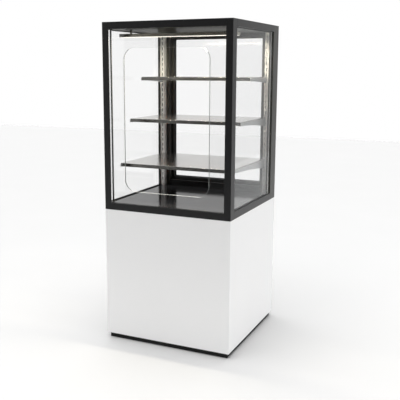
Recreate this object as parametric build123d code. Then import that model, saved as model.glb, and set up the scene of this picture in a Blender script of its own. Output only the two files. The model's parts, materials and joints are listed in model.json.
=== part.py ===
"""Free-standing heated display case: a white sheet-metal pedestal on a recessed
plinth, and a black-framed glass case with three shelves, a light bar, a heated
deck, an open self-service cut-out in front and a hinged glass door at the rear.

Millimetres. X runs to the right as the customer sees it, the customer side is
-Y, +Z is up. The origin is on the floor, at the centre of the footprint.
"""
import os

from build123d import *

# Overall sizes
WIDTH = 600.0
DEPTH = 600.0
PLINTH_HEIGHT = 22.0
PEDESTAL_HEIGHT = 584.0
CASE_HEIGHT = 816.0

# Plinth and levelling feet
PLINTH_SETBACK = 10.0
PLINTH_BAR = 20.0
FOOT_INSET = 52.0
FOOT_PAD_RADIUS = 18.0
FOOT_PAD_HEIGHT = 8.0
FOOT_STUD_RADIUS = 5.0
FOOT_STUD_LENGTH = 46.0
FOOT_NUT_RADIUS = 11.0
FOOT_NUT_HEIGHT = 12.0
THREAD_CLEARANCE = 0.3

# Pedestal sheet metal
PANEL_SHEET = 2.0
PANEL_RETURN = 22.0
TOP_PLATE_THICKNESS = 3.0
REAR_PANEL_RECESS = 2.0
CABLE_HOLE_RADIUS = 22.0

# Service door in the pedestal's rear
SERVICE_OPENING_SIDE = 70.0
SERVICE_OPENING_SILL = 38.0
SERVICE_OPENING_HEAD = 36.0
SERVICE_DOOR_DEPTH = 18.0
SERVICE_DOOR_SHEET = 1.5
SERVICE_STOP_LIP = 10.0
LOUVRE_COUNT = 9
LOUVRE_WIDTH = 260.0
LOUVRE_HEIGHT = 6.0
LOUVRE_PITCH = 15.0
LOUVRE_TOP_MARGIN = 60.0

# Hinge pins, shared by both doors
DOOR_GAP = 2.0
PIN_RADIUS = 2.5
PIN_CLEARANCE = 0.05
PIN_SEAT = 14.0
PIN_REACH = 5.0
HINGE_INSET = 14.0
HINGE_SETBACK = 6.5
HINGE_PLATE_WIDTH = 26.0
HINGE_PLATE_DEPTH = 14.0
HINGE_PLATE_HEIGHT = 20.0
HINGE_PLATE_ARM = 4.0
HINGE_PLATE_WEB = 1.5

# Flush pulls, shared by both doors
PULL_WIDTH = 22.0
PULL_LENGTH = 120.0
PULL_DEPTH = 18.0
PULL_WALL = 2.0
PULL_CLEARANCE = 0.2
PULL_EDGE = 2.0

# Control panel in the pedestal's rear
CONTROL_OPENING_WIDTH = 288.0
CONTROL_OPENING_HEIGHT = 63.0
CONTROL_TOP_MARGIN = 27.0
CONTROL_PANEL_LAP = 4.0
CONTROL_PANEL_WALL = 2.0
CONTROL_PANEL_THICKNESS = 3.0
CONTROL_PANEL_SINK = 7.0
CUTOUT_CLEARANCE = 0.2
CONTROLLER_X = -60.0
CONTROLLER_BEZEL = (77.0, 35.0, 5.0)
CONTROLLER_BODY = (71.0, 29.0, 55.0)
WINDOW = (46.0, 20.0, 1.0)
WINDOW_OFFSET = 9.0
BUTTON_SIZE = (9.0, 7.0, 4.2)
BUTTON_OFFSET = 27.0
BUTTON_PITCH = 10.0
BUTTON_PROUD = 1.2
BUTTON_CLEARANCE = 0.3
BUTTON_TRAVEL = 0.8
BUTTON_OVERTRAVEL = 0.4
BUTTON_ROUND = 0.4
SWITCH_XS = {"power": 22.0, "light": 56.0}
SWITCH_BEZEL = (24.0, 34.0, 3.0)
SWITCH_BODY = (20.0, 30.0, 24.0)
ROCKER_WIDTH = 14.0
ROCKER_LENGTH = 24.0
ROCKER_CLEARANCE_SIDE = 0.5
ROCKER_CLEARANCE_END = 1.0
ROCKER_CREST = 6.0
ROCKER_VALLEY = 4.2
ROCKER_BACK = 3.0
ROCKER_TILT = 8.0
ROCKER_PIVOT_DEPTH = 1.0
ROCKER_ROOM = 12.0
TRUNNION_RADIUS = 1.5
TRUNNION_LENGTH = 2.0
TRUNNION_CLEARANCE = 0.1
INLET_X = 110.0
INLET_FLANGE = (48.0, 30.0, 3.0)
INLET_BODY = (30.0, 22.0, 26.0)
INLET_CAVITY = (24.0, 16.0, 17.0)
INLET_PIN = (2.0, 5.0, 11.0)
INLET_PIN_PITCH = 7.0
INLET_PIN_RISE = 2.0

# Electrical parts on the base plate
RELAY_SIZE = (60.0, 46.0, 36.0)
RELAY_FIN_COUNT = 7
RELAY_FIN_HEIGHT = 26.0
RELAY_FIN_THICKNESS = 2.0
DRIVER_SIZE = (170.0, 52.0, 34.0)
DRIVER_EAR = 12.0
DRIVER_EAR_THICKNESS = 3.0
ELECTRICS_GAP = 60.0
ELECTRICS_Y = -180.0

# Case frame
FLANGE = 5.0
FRONT_POST_FACE = 30.0
FRONT_POST_SIDE = 44.0
REAR_POST_FACE = 32.0
REAR_POST_SIDE = 73.0
REAR_POST_TUBE = 54.0
TUBE_WALL = 2.5
TOP_RAIL_HEIGHT = 30.0
BOTTOM_RAIL_HEIGHT = 31.0
LEDGE_WIDTH = 25.0
LEDGE_THICKNESS = 5.0
ROOF_THICKNESS = 6.0
STOP_LAP = 24.0
STOP_DEPTH = 21.0

# Glazing
FRONT_GLASS = 8.0
SIDE_GLASS = 6.0
GLAZING_GAP = 0.3
SERVING_SIDE = 101.5
SERVING_HEIGHT = 618.0
SERVING_SILL = 89.0
SERVING_RADIUS = 50.0
SEAL_WIDTH = 6.0
SEAL_HEIGHT = 4.5
SEAL_THICKNESS = 5.5
SEAL_POST_GAP = 2.0
SEAL_REAR_GAP = 1.0

# Deck, its heater and the ceiling
DECK_THICKNESS = 4.0
DECK_NOTCH_GAP = 1.0
HEATER_THICKNESS = 2.0
HEATER_MARGIN = 45.0
TRAY_SHEET = 1.5

# Slotted uprights
UPRIGHT_WIDTH = 27.0
UPRIGHT_DEPTH = 28.0
UPRIGHT_SHEET = 2.0
SLOT_WIDTH = 4.0
SLOT_HEIGHT = 14.0
SLOT_PITCH = 25.0
SLOT_MARGIN = 20.0

# Shelves and their brackets: top height above the deck, front edge from the case's
# front face, and how far the bracket drops at its rear end. The belly is a point on
# the bracket's hollow lower edge, as shares of its run and fall.
SHELF_SIDE_GAP = 20.0
SHELF_THICKNESS = 15.5
SHELF_HEATER_MARGIN = 22.5
SHELF_SHEET = 1.5
SHELF_LIP = 12.0
SHELF_REAR_GAP = 5.0
SHELVES = {
    "top": {"height": 551.0, "front": 296.0, "bracket_drop": 29.0},
    "middle": {"height": 363.0, "front": 184.0, "bracket_drop": 43.0},
    "lower": {"height": 168.0, "front": 91.0, "bracket_drop": 47.0},
}
BRACKET_SHEET = 3.0
BRACKET_TOP = 4.0
BRACKET_NOSE = 17.0
BRACKET_LIP = 10.0
BRACKET_BELLY = (0.6, 0.4)
HOOK_LENGTH = 8.0
HOOK_HEIGHT = 11.0

# Light bar under the ceiling
BAR_END_GAP = 20.0
BAR_FRONT = 93.0
BAR_DEPTH = 71.0
BAR_DROP = 16.5
BAR_THICKNESS = 14.0
BAR_SHEET = 1.5
DIFFUSER_THICKNESS = 3.0
LED_STRIP_COUNT = 2
LED_STRIP_WIDTH = 14.0
LED_STRIP_THICKNESS = 2.0
LED_STRIP_MARGIN = 15.0
HANGER_RADIUS = 5.0
HANGER_INSET = 40.0

# Rear glass door
DOOR_STILE = 34.0
DOOR_TOP_RAIL = 43.0
DOOR_BOTTOM_RAIL = 40.0
DOOR_GLASS = 6.0
DOOR_GLASS_BITE = 8.0
GASKET_THICKNESS = 2.8
GASKET_GAP = 0.5
GASKET_EDGE = 2.0
HEEL_CHAMFER = (11.0, 5.0)
DOOR_PULL_HEIGHT = 1010.0

# Countersunk screws
SCREW_HEAD_RADIUS = 4.0
SCREW_HEAD_HEIGHT = 2.0
SCREW_SHANK_RADIUS = 2.0
SCREW_CLEARANCE = 0.2
ROOF_SCREW_INSET = 21.0
ROOF_SCREW_END = 80.0
REAR_SCREW_END = 52.0

# Places worked out from the sizes above
LEFT, RIGHT = -WIDTH / 2, WIDTH / 2
FRONT, REAR = -DEPTH / 2, DEPTH / 2
PEDESTAL_Z = PLINTH_HEIGHT
CASE_Z = PEDESTAL_Z + PEDESTAL_HEIGHT
TOP_Z = CASE_Z + CASE_HEIGHT
ROOF_Z = TOP_Z - ROOF_THICKNESS
UPPER_LEDGE_Z = ROOF_Z - LEDGE_THICKNESS
LOWER_LEDGE_Z = CASE_Z + LEDGE_THICKNESS
CEILING_Z = TOP_Z - TOP_RAIL_HEIGHT
SILL_Z = CASE_Z + BOTTOM_RAIL_HEIGHT
DECK_Z = SILL_Z
FLANGE_X = RIGHT - FLANGE
GLASS_X = FLANGE_X - SIDE_GLASS
FLANGE_Y = FRONT + FLANGE
GLASS_Y = FLANGE_Y + FRONT_GLASS
TUBE_Y = REAR - REAR_POST_TUBE
STOP_Y = TUBE_Y + STOP_DEPTH
REAR_POST_X = RIGHT - REAR_POST_FACE
STOP_X = REAR_POST_X - STOP_LAP
LEAF_X = REAR_POST_X - DOOR_GAP
LEAF_Y = STOP_Y + GASKET_THICKNESS + GASKET_GAP
LEAF_LOW_Z = SILL_Z + DOOR_GAP
LEAF_TOP_Z = ROOF_Z - DOOR_GAP
STOP_LOW_Z = LEAF_LOW_Z + STOP_LAP
STOP_TOP_Z = LEAF_TOP_Z - STOP_LAP
INNER_X = GLASS_X - GLAZING_GAP
INNER_Y = GLASS_Y + GLAZING_GAP
PANEL_X = RIGHT - PANEL_SHEET
PANEL_Y = FRONT + PANEL_SHEET
REAR_PANEL_Y = REAR - REAR_PANEL_RECESS
REAR_PANEL_IN_Y = REAR_PANEL_Y - PANEL_SHEET
CONTROL_FACE_Y = REAR_PANEL_IN_Y - CONTROL_PANEL_SINK
CONTROL_BACK_Y = CONTROL_FACE_Y - CONTROL_PANEL_THICKNESS
CONTROL_Z = CASE_Z - CONTROL_TOP_MARGIN - CONTROL_OPENING_HEIGHT / 2
SERVICE_LOW_Z = PEDESTAL_Z + SERVICE_OPENING_SILL
SERVICE_TOP_Z = CONTROL_Z - CONTROL_OPENING_HEIGHT / 2 - SERVICE_OPENING_HEAD
SERVICE_X = RIGHT - SERVICE_OPENING_SIDE
SERVICE_LEAF_X = SERVICE_X - DOOR_GAP
UPRIGHT_Y = TUBE_Y - UPRIGHT_DEPTH
SHELF_X = GLASS_X - SHELF_SIDE_GAP
SHELF_REAR_Y = UPRIGHT_Y - SHELF_REAR_GAP
BAR_X = GLASS_X - BAR_END_GAP
BAR_Y = (FRONT + BAR_FRONT, FRONT + BAR_FRONT + BAR_DEPTH)
BAR_TOP_Z = CEILING_Z - BAR_DROP
BAR_LOW_Z = BAR_TOP_Z - BAR_THICKNESS


def block(x, y, z):
    """A box from (low, high) pairs along X, Y and Z."""
    size = Box(x[1] - x[0], y[1] - y[0], z[1] - z[0])
    return Pos((x[0] + x[1]) / 2, (y[0] + y[1]) / 2, (z[0] + z[1]) / 2) * size


def sym(half):
    """A (low, high) pair centred on zero."""
    return (-half, half)


def about(centre, size):
    """A (low, high) pair centred on a value."""
    return (centre - size / 2, centre + size / 2)


def rod(radius, x, y, z):
    """An upright cylinder at (x, y) between the two heights of z."""
    return Pos(x, y, (z[0] + z[1]) / 2) * Cylinder(radius, z[1] - z[0])


def mirrored(shape):
    """The left-hand twin of a right-hand piece."""
    return mirror(shape, about=Plane.YZ)


def tray(x, y, z, sheet, floor_low=True):
    """A folded pan with four walls, its floor at the bottom or at the top."""
    inside_z = (z[0] + sheet, z[1] + sheet) if floor_low else (z[0] - sheet, z[1] - sheet)
    inside = block((x[0] + sheet, x[1] - sheet), (y[0] + sheet, y[1] - sheet), inside_z)
    return block(x, y, z) - inside


# Plinth, base and levelling feet
def foot_places():
    reach_x = RIGHT - FOOT_INSET
    reach_y = REAR - FOOT_INSET
    return {
        "front_left": (-reach_x, -reach_y),
        "front_right": (reach_x, -reach_y),
        "rear_left": (-reach_x, reach_y),
        "rear_right": (reach_x, reach_y),
    }


def make_plinth():
    outer_x = RIGHT - PLINTH_SETBACK
    outer_y = REAR - PLINTH_SETBACK
    height = (0, PLINTH_HEIGHT)
    inside = block(sym(outer_x - PLINTH_BAR), sym(outer_y - PLINTH_BAR), height)
    return block(sym(outer_x), sym(outer_y), height) - inside


def make_base_plate():
    plate_z = (PEDESTAL_Z, PEDESTAL_Z + PANEL_SHEET)
    nut_z = (plate_z[1], plate_z[1] + FOOT_NUT_HEIGHT)
    plate = block(sym(PANEL_X), (PANEL_Y, REAR_PANEL_IN_Y), plate_z)
    for x, y in foot_places().values():
        plate += rod(FOOT_NUT_RADIUS, x, y, nut_z)
        plate -= rod(FOOT_STUD_RADIUS + THREAD_CLEARANCE, x, y, (plate_z[0], nut_z[1]))
    return plate


def make_foot(x, y):
    pad = rod(FOOT_PAD_RADIUS, x, y, (0, FOOT_PAD_HEIGHT))
    stud_z = (FOOT_PAD_HEIGHT, FOOT_PAD_HEIGHT + FOOT_STUD_LENGTH)
    return pad + rod(FOOT_STUD_RADIUS, x, y, stud_z)


# Pedestal panels
def make_side_panel():
    """Right-hand panel: a sheet with a return behind the front and rear panels."""
    height = (PEDESTAL_Z, CASE_Z)
    plate_z = PEDESTAL_Z + PANEL_SHEET
    top_z = CASE_Z - TOP_PLATE_THICKNESS
    sheet = block((PANEL_X, RIGHT), (PANEL_Y, REAR), height)
    return_x = (PANEL_X - PANEL_RETURN, PANEL_X)
    front_return = block(return_x, (PANEL_Y, PANEL_Y + PANEL_SHEET), (plate_z, top_z))
    rear_return_y = (REAR_PANEL_IN_Y - PANEL_SHEET, REAR_PANEL_IN_Y)
    rear_return = block(return_x, rear_return_y, (plate_z, top_z))
    panel = sheet + front_return + rear_return
    for x, z in rear_screw_places():
        if x > 0:
            panel -= rear_screw(x, z, SCREW_CLEARANCE)
    return panel


def rear_screw_places():
    """Screws through the rear panel into the side panels' returns."""
    x = PANEL_X - PANEL_RETURN / 2
    middle = (PEDESTAL_Z + CASE_Z) / 2
    heights = [PEDESTAL_Z + REAR_SCREW_END, middle, CASE_Z - REAR_SCREW_END]
    return [(side * x, z) for side in (-1, 1) for z in heights]


def rear_screw(x, z, clearance=0.0):
    """A flat-headed screw whose head stands on the rear panel's outer face."""
    shank = Cylinder(SCREW_SHANK_RADIUS + clearance, 2 * PANEL_SHEET)
    head = Cylinder(SCREW_HEAD_RADIUS, SCREW_HEAD_HEIGHT - SCREW_CLEARANCE)
    head_y = REAR_PANEL_Y + (SCREW_HEAD_HEIGHT - SCREW_CLEARANCE) / 2
    body = Pos(x, REAR_PANEL_IN_Y, z) * Rot(90, 0, 0) * shank
    if clearance:
        return body
    return body + Pos(x, head_y, z) * Rot(90, 0, 0) * head


def make_rear_panel():
    """Rear sheet with the service and control openings and the service door's stop."""
    sheet_y = (REAR_PANEL_IN_Y, REAR_PANEL_Y)
    sheet = block(sym(PANEL_X), sheet_y, (PEDESTAL_Z, CASE_Z))
    sheet -= block(sym(SERVICE_X), sheet_y, (SERVICE_LOW_Z, SERVICE_TOP_Z))
    control_z = about(CONTROL_Z, CONTROL_OPENING_HEIGHT)
    sheet -= block(sym(CONTROL_OPENING_WIDTH / 2), sheet_y, control_z)
    for x, z in rear_screw_places():
        sheet -= rear_screw(x, z, SCREW_CLEARANCE)
    lip_y = REAR_PANEL_Y - SERVICE_DOOR_DEPTH - GASKET_GAP
    stop_z = (SERVICE_LOW_Z, SERVICE_TOP_Z)
    wall = block((SERVICE_X, SERVICE_X + PANEL_SHEET), (lip_y - PANEL_SHEET, sheet_y[1]), stop_z)
    lip_x = (SERVICE_X - SERVICE_STOP_LIP, SERVICE_X)
    lip = block(lip_x, (lip_y - PANEL_SHEET, lip_y), stop_z)
    return sheet + wall + lip


def make_top_plate():
    plate_z = (CASE_Z - TOP_PLATE_THICKNESS, CASE_Z)
    plate = block(sym(PANEL_X), (PANEL_Y, REAR_PANEL_IN_Y), plate_z)
    return plate - rod(CABLE_HOLE_RADIUS, 0, 0, plate_z)


# Hinge pins and flush pulls
def hinge_pins(x, y, low_z, top_z):
    """Two pins seated in a leaf, one reaching down out of it and one up."""
    seat = PIN_SEAT
    lower = rod(PIN_RADIUS, x, y, (low_z - PIN_REACH, low_z + seat))
    upper = rod(PIN_RADIUS, x, y, (top_z - seat, top_z + PIN_REACH))
    return lower, upper


def hinge_bores(x, y, low_z, top_z, depth):
    """The holes that take hinge_pins, running the given depth each way from the gap."""
    radius = PIN_RADIUS + PIN_CLEARANCE
    lower = rod(radius, x, y, (low_z - depth, low_z + PIN_SEAT))
    upper = rod(radius, x, y, (top_z - PIN_SEAT, top_z + depth))
    return lower + upper


def flush_pull(x, outer_y, z, clearance=0.0):
    """The outside of a cup pull that is let into a leaf's rear face."""
    grow = 2 * clearance
    depth = (outer_y - PULL_DEPTH - clearance, outer_y)
    return block(about(x, PULL_WIDTH + grow), depth, about(z, PULL_LENGTH + grow))


def cup_pull(x, outer_y, z):
    wall = 2 * PULL_WALL
    inside_y = (outer_y - PULL_DEPTH + PULL_WALL, outer_y)
    inside = block(about(x, PULL_WIDTH - wall), inside_y, about(z, PULL_LENGTH - wall))
    return flush_pull(x, outer_y, z) - inside


# Service door
SERVICE_HINGE = (-SERVICE_LEAF_X + HINGE_INSET, REAR_PANEL_Y - HINGE_SETBACK)
SERVICE_LEAF_Z = (SERVICE_LOW_Z + DOOR_GAP, SERVICE_TOP_Z - DOOR_GAP)
SERVICE_PULL_X = SERVICE_LEAF_X - SERVICE_STOP_LIP - PULL_WIDTH
SERVICE_PULL_Z = (SERVICE_LEAF_Z[0] + SERVICE_LEAF_Z[1]) / 2
SERVICE_BACK_Y = REAR_PANEL_Y - SERVICE_DOOR_DEPTH


def make_service_door():
    """A shallow pan with louvres, hinge blocks in two corners and a pocket for the pull."""
    sheet = SERVICE_DOOR_SHEET
    leaf_x = sym(SERVICE_LEAF_X)
    leaf_y = (SERVICE_BACK_Y, REAR_PANEL_Y)
    pan = block(leaf_x, leaf_y, SERVICE_LEAF_Z)
    inside_x = sym(SERVICE_LEAF_X - sheet)
    inside_z = (SERVICE_LEAF_Z[0] + sheet, SERVICE_LEAF_Z[1] - sheet)
    pan -= block(inside_x, (leaf_y[0], leaf_y[1] - sheet), inside_z)
    block_x = (leaf_x[0], leaf_x[0] + 2 * HINGE_INSET)
    block_height = PIN_SEAT + PULL_WALL
    for low in (SERVICE_LEAF_Z[0], SERVICE_LEAF_Z[1] - block_height):
        pan += block(block_x, leaf_y, (low, low + block_height))
    first = SERVICE_LEAF_Z[1] - LOUVRE_TOP_MARGIN
    for index in range(LOUVRE_COUNT):
        slot_z = about(first - index * LOUVRE_PITCH, LOUVRE_HEIGHT)
        pan -= block(sym(LOUVRE_WIDTH / 2), leaf_y, slot_z)
    pan -= flush_pull(SERVICE_PULL_X, REAR_PANEL_Y, SERVICE_PULL_Z, PULL_CLEARANCE)
    return pan - hinge_bores(*SERVICE_HINGE, *SERVICE_LEAF_Z, depth=0)


def make_service_hinge_plates():
    """Two angle plates behind the rear panel, above and below the door."""
    x, y = SERVICE_HINGE
    plate_x = about(x, HINGE_PLATE_WIDTH)
    plates = []
    for edge, way in ((SERVICE_LOW_Z, -1), (SERVICE_TOP_Z, 1)):
        arm_z = sorted((edge, edge + way * HINGE_PLATE_ARM))
        web_z = sorted((edge, edge + way * HINGE_PLATE_HEIGHT))
        arm = block(plate_x, (REAR_PANEL_IN_Y - HINGE_PLATE_DEPTH, REAR_PANEL_IN_Y), arm_z)
        web = block(plate_x, (REAR_PANEL_IN_Y - HINGE_PLATE_WEB, REAR_PANEL_IN_Y), web_z)
        plates.append(arm + web - rod(PIN_RADIUS + PIN_CLEARANCE, x, y, web_z))
    return Compound(plates)


# Controls
def make_control_panel():
    """A shallow tray behind the rear panel, with a cut-out for each control."""
    half_x = CONTROL_OPENING_WIDTH / 2 + CONTROL_PANEL_LAP
    half_z = CONTROL_OPENING_HEIGHT / 2 + CONTROL_PANEL_LAP
    outer_z = about(CONTROL_Z, 2 * half_z)
    wall = CONTROL_PANEL_WALL
    panel = block(sym(half_x), (CONTROL_BACK_Y, REAR_PANEL_IN_Y), outer_z)
    inside_z = (outer_z[0] + wall, outer_z[1] - wall)
    panel -= block(sym(half_x - wall), (CONTROL_FACE_Y, REAR_PANEL_IN_Y), inside_z)
    for x, body in control_bodies():
        width = body[0] + 2 * CUTOUT_CLEARANCE
        height = body[1] + 2 * CUTOUT_CLEARANCE
        cutout_y = (CONTROL_BACK_Y, CONTROL_FACE_Y)
        panel -= block(about(x, width), cutout_y, about(CONTROL_Z, height))
    return panel


def control_bodies():
    bodies = [(CONTROLLER_X, CONTROLLER_BODY), (INLET_X, INLET_BODY)]
    return bodies + [(x, SWITCH_BODY) for x in SWITCH_XS.values()]


def panel_device(x, bezel, body):
    """A bezel on the control panel with its body through the cut-out."""
    face = block(about(x, bezel[0]), (CONTROL_FACE_Y, CONTROL_FACE_Y + bezel[2]),
                 about(CONTROL_Z, bezel[1]))
    rear = block(about(x, body[0]), (CONTROL_FACE_Y - body[2], CONTROL_FACE_Y),
                 about(CONTROL_Z, body[1]))
    return face + rear


def button_places():
    x = CONTROLLER_X + BUTTON_OFFSET
    return {
        "set": (x, CONTROL_Z + BUTTON_PITCH),
        "up": (x, CONTROL_Z),
        "down": (x, CONTROL_Z - BUTTON_PITCH),
    }


CONTROLLER_FACE_Y = CONTROL_FACE_Y + CONTROLLER_BEZEL[2]
WINDOW_X = CONTROLLER_X - WINDOW_OFFSET


def make_controller_body():
    controller = panel_device(CONTROLLER_X, CONTROLLER_BEZEL, CONTROLLER_BODY)
    window_y = (CONTROLLER_FACE_Y - WINDOW[2], CONTROLLER_FACE_Y)
    controller -= block(about(WINDOW_X, WINDOW[0]), window_y, about(CONTROL_Z, WINDOW[1]))
    grow = 2 * BUTTON_CLEARANCE
    room = BUTTON_SIZE[2] - BUTTON_PROUD + BUTTON_TRAVEL + BUTTON_OVERTRAVEL
    for x, z in button_places().values():
        pocket_x = about(x, BUTTON_SIZE[0] + grow)
        pocket_z = about(z, BUTTON_SIZE[1] + grow)
        controller -= block(pocket_x, (CONTROLLER_FACE_Y - room, CONTROLLER_FACE_Y), pocket_z)
    return controller


def make_controller_window():
    window_y = (CONTROLLER_FACE_Y - WINDOW[2], CONTROLLER_FACE_Y)
    return block(about(WINDOW_X, WINDOW[0]), window_y, about(CONTROL_Z, WINDOW[1]))


def make_button(x, z):
    front_y = CONTROLLER_FACE_Y + BUTTON_PROUD
    body = block(about(x, BUTTON_SIZE[0]), (front_y - BUTTON_SIZE[2], front_y),
                 about(z, BUTTON_SIZE[1]))
    front_edges = body.edges().group_by(Axis.Y)[-1]
    return fillet(front_edges, BUTTON_ROUND)


ROCKER_Y = CONTROL_FACE_Y - ROCKER_PIVOT_DEPTH


def make_switch_housing(x):
    housing = panel_device(x, SWITCH_BEZEL, SWITCH_BODY)
    cavity_x = about(x, ROCKER_WIDTH + 2 * ROCKER_CLEARANCE_SIDE)
    cavity_z = about(CONTROL_Z, ROCKER_LENGTH + 2 * ROCKER_CLEARANCE_END)
    cavity_y = (ROCKER_Y - ROCKER_ROOM, CONTROL_FACE_Y + SWITCH_BEZEL[2])
    housing -= block(cavity_x, cavity_y, cavity_z)
    hole_length = ROCKER_WIDTH + 2 * (TRUNNION_LENGTH + TRUNNION_CLEARANCE)
    hole = Rot(0, 90, 0) * Cylinder(TRUNNION_RADIUS + TRUNNION_CLEARANCE, hole_length)
    return housing - Pos(x, ROCKER_Y, CONTROL_Z) * hole


def make_rocker(x):
    """A shallow V-faced rocker on two trunnions, tipped to its off side."""
    half = ROCKER_LENGTH / 2
    outline = [
        (-ROCKER_BACK, -half),
        (ROCKER_CREST, -half),
        (ROCKER_VALLEY, 0),
        (ROCKER_CREST, half),
        (-ROCKER_BACK, half),
    ]
    face = Plane.YZ * make_face(Polyline(*outline, close=True))
    body = extrude(face, ROCKER_WIDTH / 2, both=True)
    pin_length = ROCKER_WIDTH + 2 * TRUNNION_LENGTH
    body += Rot(0, 90, 0) * Cylinder(TRUNNION_RADIUS, pin_length)
    return Pos(x, ROCKER_Y, CONTROL_Z) * Rot(-ROCKER_TILT, 0, 0) * body


def make_power_inlet():
    """A three-pin appliance inlet: flange, body, cavity and contact blades."""
    inlet = panel_device(INLET_X, INLET_FLANGE, INLET_BODY)
    face_y = CONTROL_FACE_Y + INLET_FLANGE[2]
    floor_y = face_y - INLET_CAVITY[2]
    inlet -= block(about(INLET_X, INLET_CAVITY[0]), (floor_y, face_y),
                   about(CONTROL_Z, INLET_CAVITY[1]))
    blades = ((-INLET_PIN_PITCH, -1), (0, 1), (INLET_PIN_PITCH, -1))
    for offset, row in blades:
        blade_x = about(INLET_X + offset, INLET_PIN[0])
        blade_z = about(CONTROL_Z + row * INLET_PIN_RISE, INLET_PIN[1])
        inlet += block(blade_x, (floor_y, floor_y + INLET_PIN[2]), blade_z)
    return inlet


# Electrical parts
def make_relay():
    """Solid-state relay under a finned heat sink."""
    base_z = PEDESTAL_Z + PANEL_SHEET
    x = -(ELECTRICS_GAP + RELAY_SIZE[0]) / 2
    relay = block(about(x, RELAY_SIZE[0]), about(ELECTRICS_Y, RELAY_SIZE[1]),
                  (base_z, base_z + RELAY_SIZE[2]))
    fin_z = (base_z + RELAY_SIZE[2], base_z + RELAY_SIZE[2] + RELAY_FIN_HEIGHT)
    pitch = (RELAY_SIZE[0] - RELAY_FIN_THICKNESS) / (RELAY_FIN_COUNT - 1)
    for index in range(RELAY_FIN_COUNT):
        fin_x = x - RELAY_SIZE[0] / 2 + RELAY_FIN_THICKNESS / 2 + index * pitch
        relay += block(about(fin_x, RELAY_FIN_THICKNESS), about(ELECTRICS_Y, RELAY_SIZE[1]), fin_z)
    return relay


def make_led_driver():
    """Lighting power supply with a mounting ear at each end."""
    base_z = PEDESTAL_Z + PANEL_SHEET
    x = (ELECTRICS_GAP + DRIVER_SIZE[0]) / 2
    case = block(about(x, DRIVER_SIZE[0]), about(ELECTRICS_Y, DRIVER_SIZE[1]),
                 (base_z, base_z + DRIVER_SIZE[2]))
    ears = block(about(x, DRIVER_SIZE[0] + 2 * DRIVER_EAR), about(ELECTRICS_Y, DRIVER_SIZE[1]),
                 (base_z, base_z + DRIVER_EAR_THICKNESS))
    return case + ears


# Case frame
def make_front_post():
    """Right-hand front post: an unequal angle, full height."""
    height = (CASE_Z, TOP_Z)
    face = block((RIGHT - FRONT_POST_FACE, RIGHT), (FRONT, FLANGE_Y), height)
    side = block((FLANGE_X, RIGHT), (FRONT, FRONT + FRONT_POST_SIDE), height)
    return face + side


def make_rear_post():
    """Right-hand rear post: a tube with an outer flange and a door stop."""
    tube_z = (CASE_Z, ROOF_Z)
    tube = block((REAR_POST_X, FLANGE_X), (TUBE_Y, REAR), tube_z)
    bore_x = (REAR_POST_X + TUBE_WALL, FLANGE_X - TUBE_WALL)
    tube -= block(bore_x, (TUBE_Y + TUBE_WALL, REAR - TUBE_WALL), tube_z)
    flange = block((FLANGE_X, RIGHT), (REAR - REAR_POST_SIDE, REAR), (CASE_Z, TOP_Z))
    stop = block((STOP_X, REAR_POST_X), (TUBE_Y, STOP_Y), tube_z)
    return tube + flange + stop


def ledge_ring(z):
    """The flat ring inside the posts that the panes, deck and roof bear on."""
    outer = block(sym(FLANGE_X), (FLANGE_Y, TUBE_Y), z)
    inner_x = FLANGE_X - LEDGE_WIDTH
    return outer - block(sym(inner_x), (FLANGE_Y + LEDGE_WIDTH, TUBE_Y - LEDGE_WIDTH), z)


def rail_flanges(z):
    """The visible faces of a ring: one front rail and two side rails."""
    front_x = RIGHT - FRONT_POST_FACE
    front = block(sym(front_x), (FRONT, FLANGE_Y), z)
    side_y = (FRONT + FRONT_POST_SIDE, REAR - REAR_POST_SIDE)
    side = block((FLANGE_X, RIGHT), side_y, z)
    return front + side + mirrored(side)


def make_top_frame():
    frame = ledge_ring((UPPER_LEDGE_Z, ROOF_Z)) + rail_flanges((CEILING_Z, TOP_Z))
    frame += block(sym(STOP_X), (TUBE_Y, STOP_Y), (STOP_TOP_Z, ROOF_Z))
    for x, y in roof_screw_places():
        frame -= roof_screw(x, y, SCREW_CLEARANCE)
    return frame


def make_bottom_frame():
    frame = ledge_ring((CASE_Z, LOWER_LEDGE_Z)) + rail_flanges((CASE_Z, SILL_Z))
    frame += block(sym(STOP_X), (TUBE_Y, STOP_Y), (CASE_Z, STOP_LOW_Z))
    frame += block(sym(REAR_POST_X), (STOP_Y, REAR), (CASE_Z, SILL_Z))
    return frame - door_bores()


def roof_screw_places():
    """Screws through the roof into the ledge, along both sides and the front."""
    side_x = RIGHT - ROOF_SCREW_INSET
    front_y = FRONT + ROOF_SCREW_INSET
    end_y = REAR - ROOF_SCREW_END
    end_x = (RIGHT - ROOF_SCREW_END) / 2
    sides = [(side * side_x, y) for side in (-1, 1) for y in (-end_y, 0, end_y)]
    return sides + [(x, front_y) for x in (-end_x, 0, end_x)]


def roof_screw(x, y, clearance=0.0):
    shank = rod(SCREW_SHANK_RADIUS + clearance, x, y, (UPPER_LEDGE_Z, TOP_Z))
    head_z = (TOP_Z - SCREW_HEAD_HEIGHT, TOP_Z)
    return shank + rod(SCREW_HEAD_RADIUS + clearance, x, y, head_z)


def make_roof_panel():
    roof = block(sym(FLANGE_X), (FLANGE_Y, REAR), (ROOF_Z, TOP_Z))
    for x, y in roof_screw_places():
        roof -= roof_screw(x, y, SCREW_CLEARANCE)
    return roof - door_bores()


def make_screws():
    screws = [roof_screw(x, y) for x, y in roof_screw_places()]
    return Compound(screws + [rear_screw(x, z) for x, z in rear_screw_places()])


# Glazing
PANE_Z = (LOWER_LEDGE_Z + GLAZING_GAP, UPPER_LEDGE_Z - GLAZING_GAP)


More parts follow.
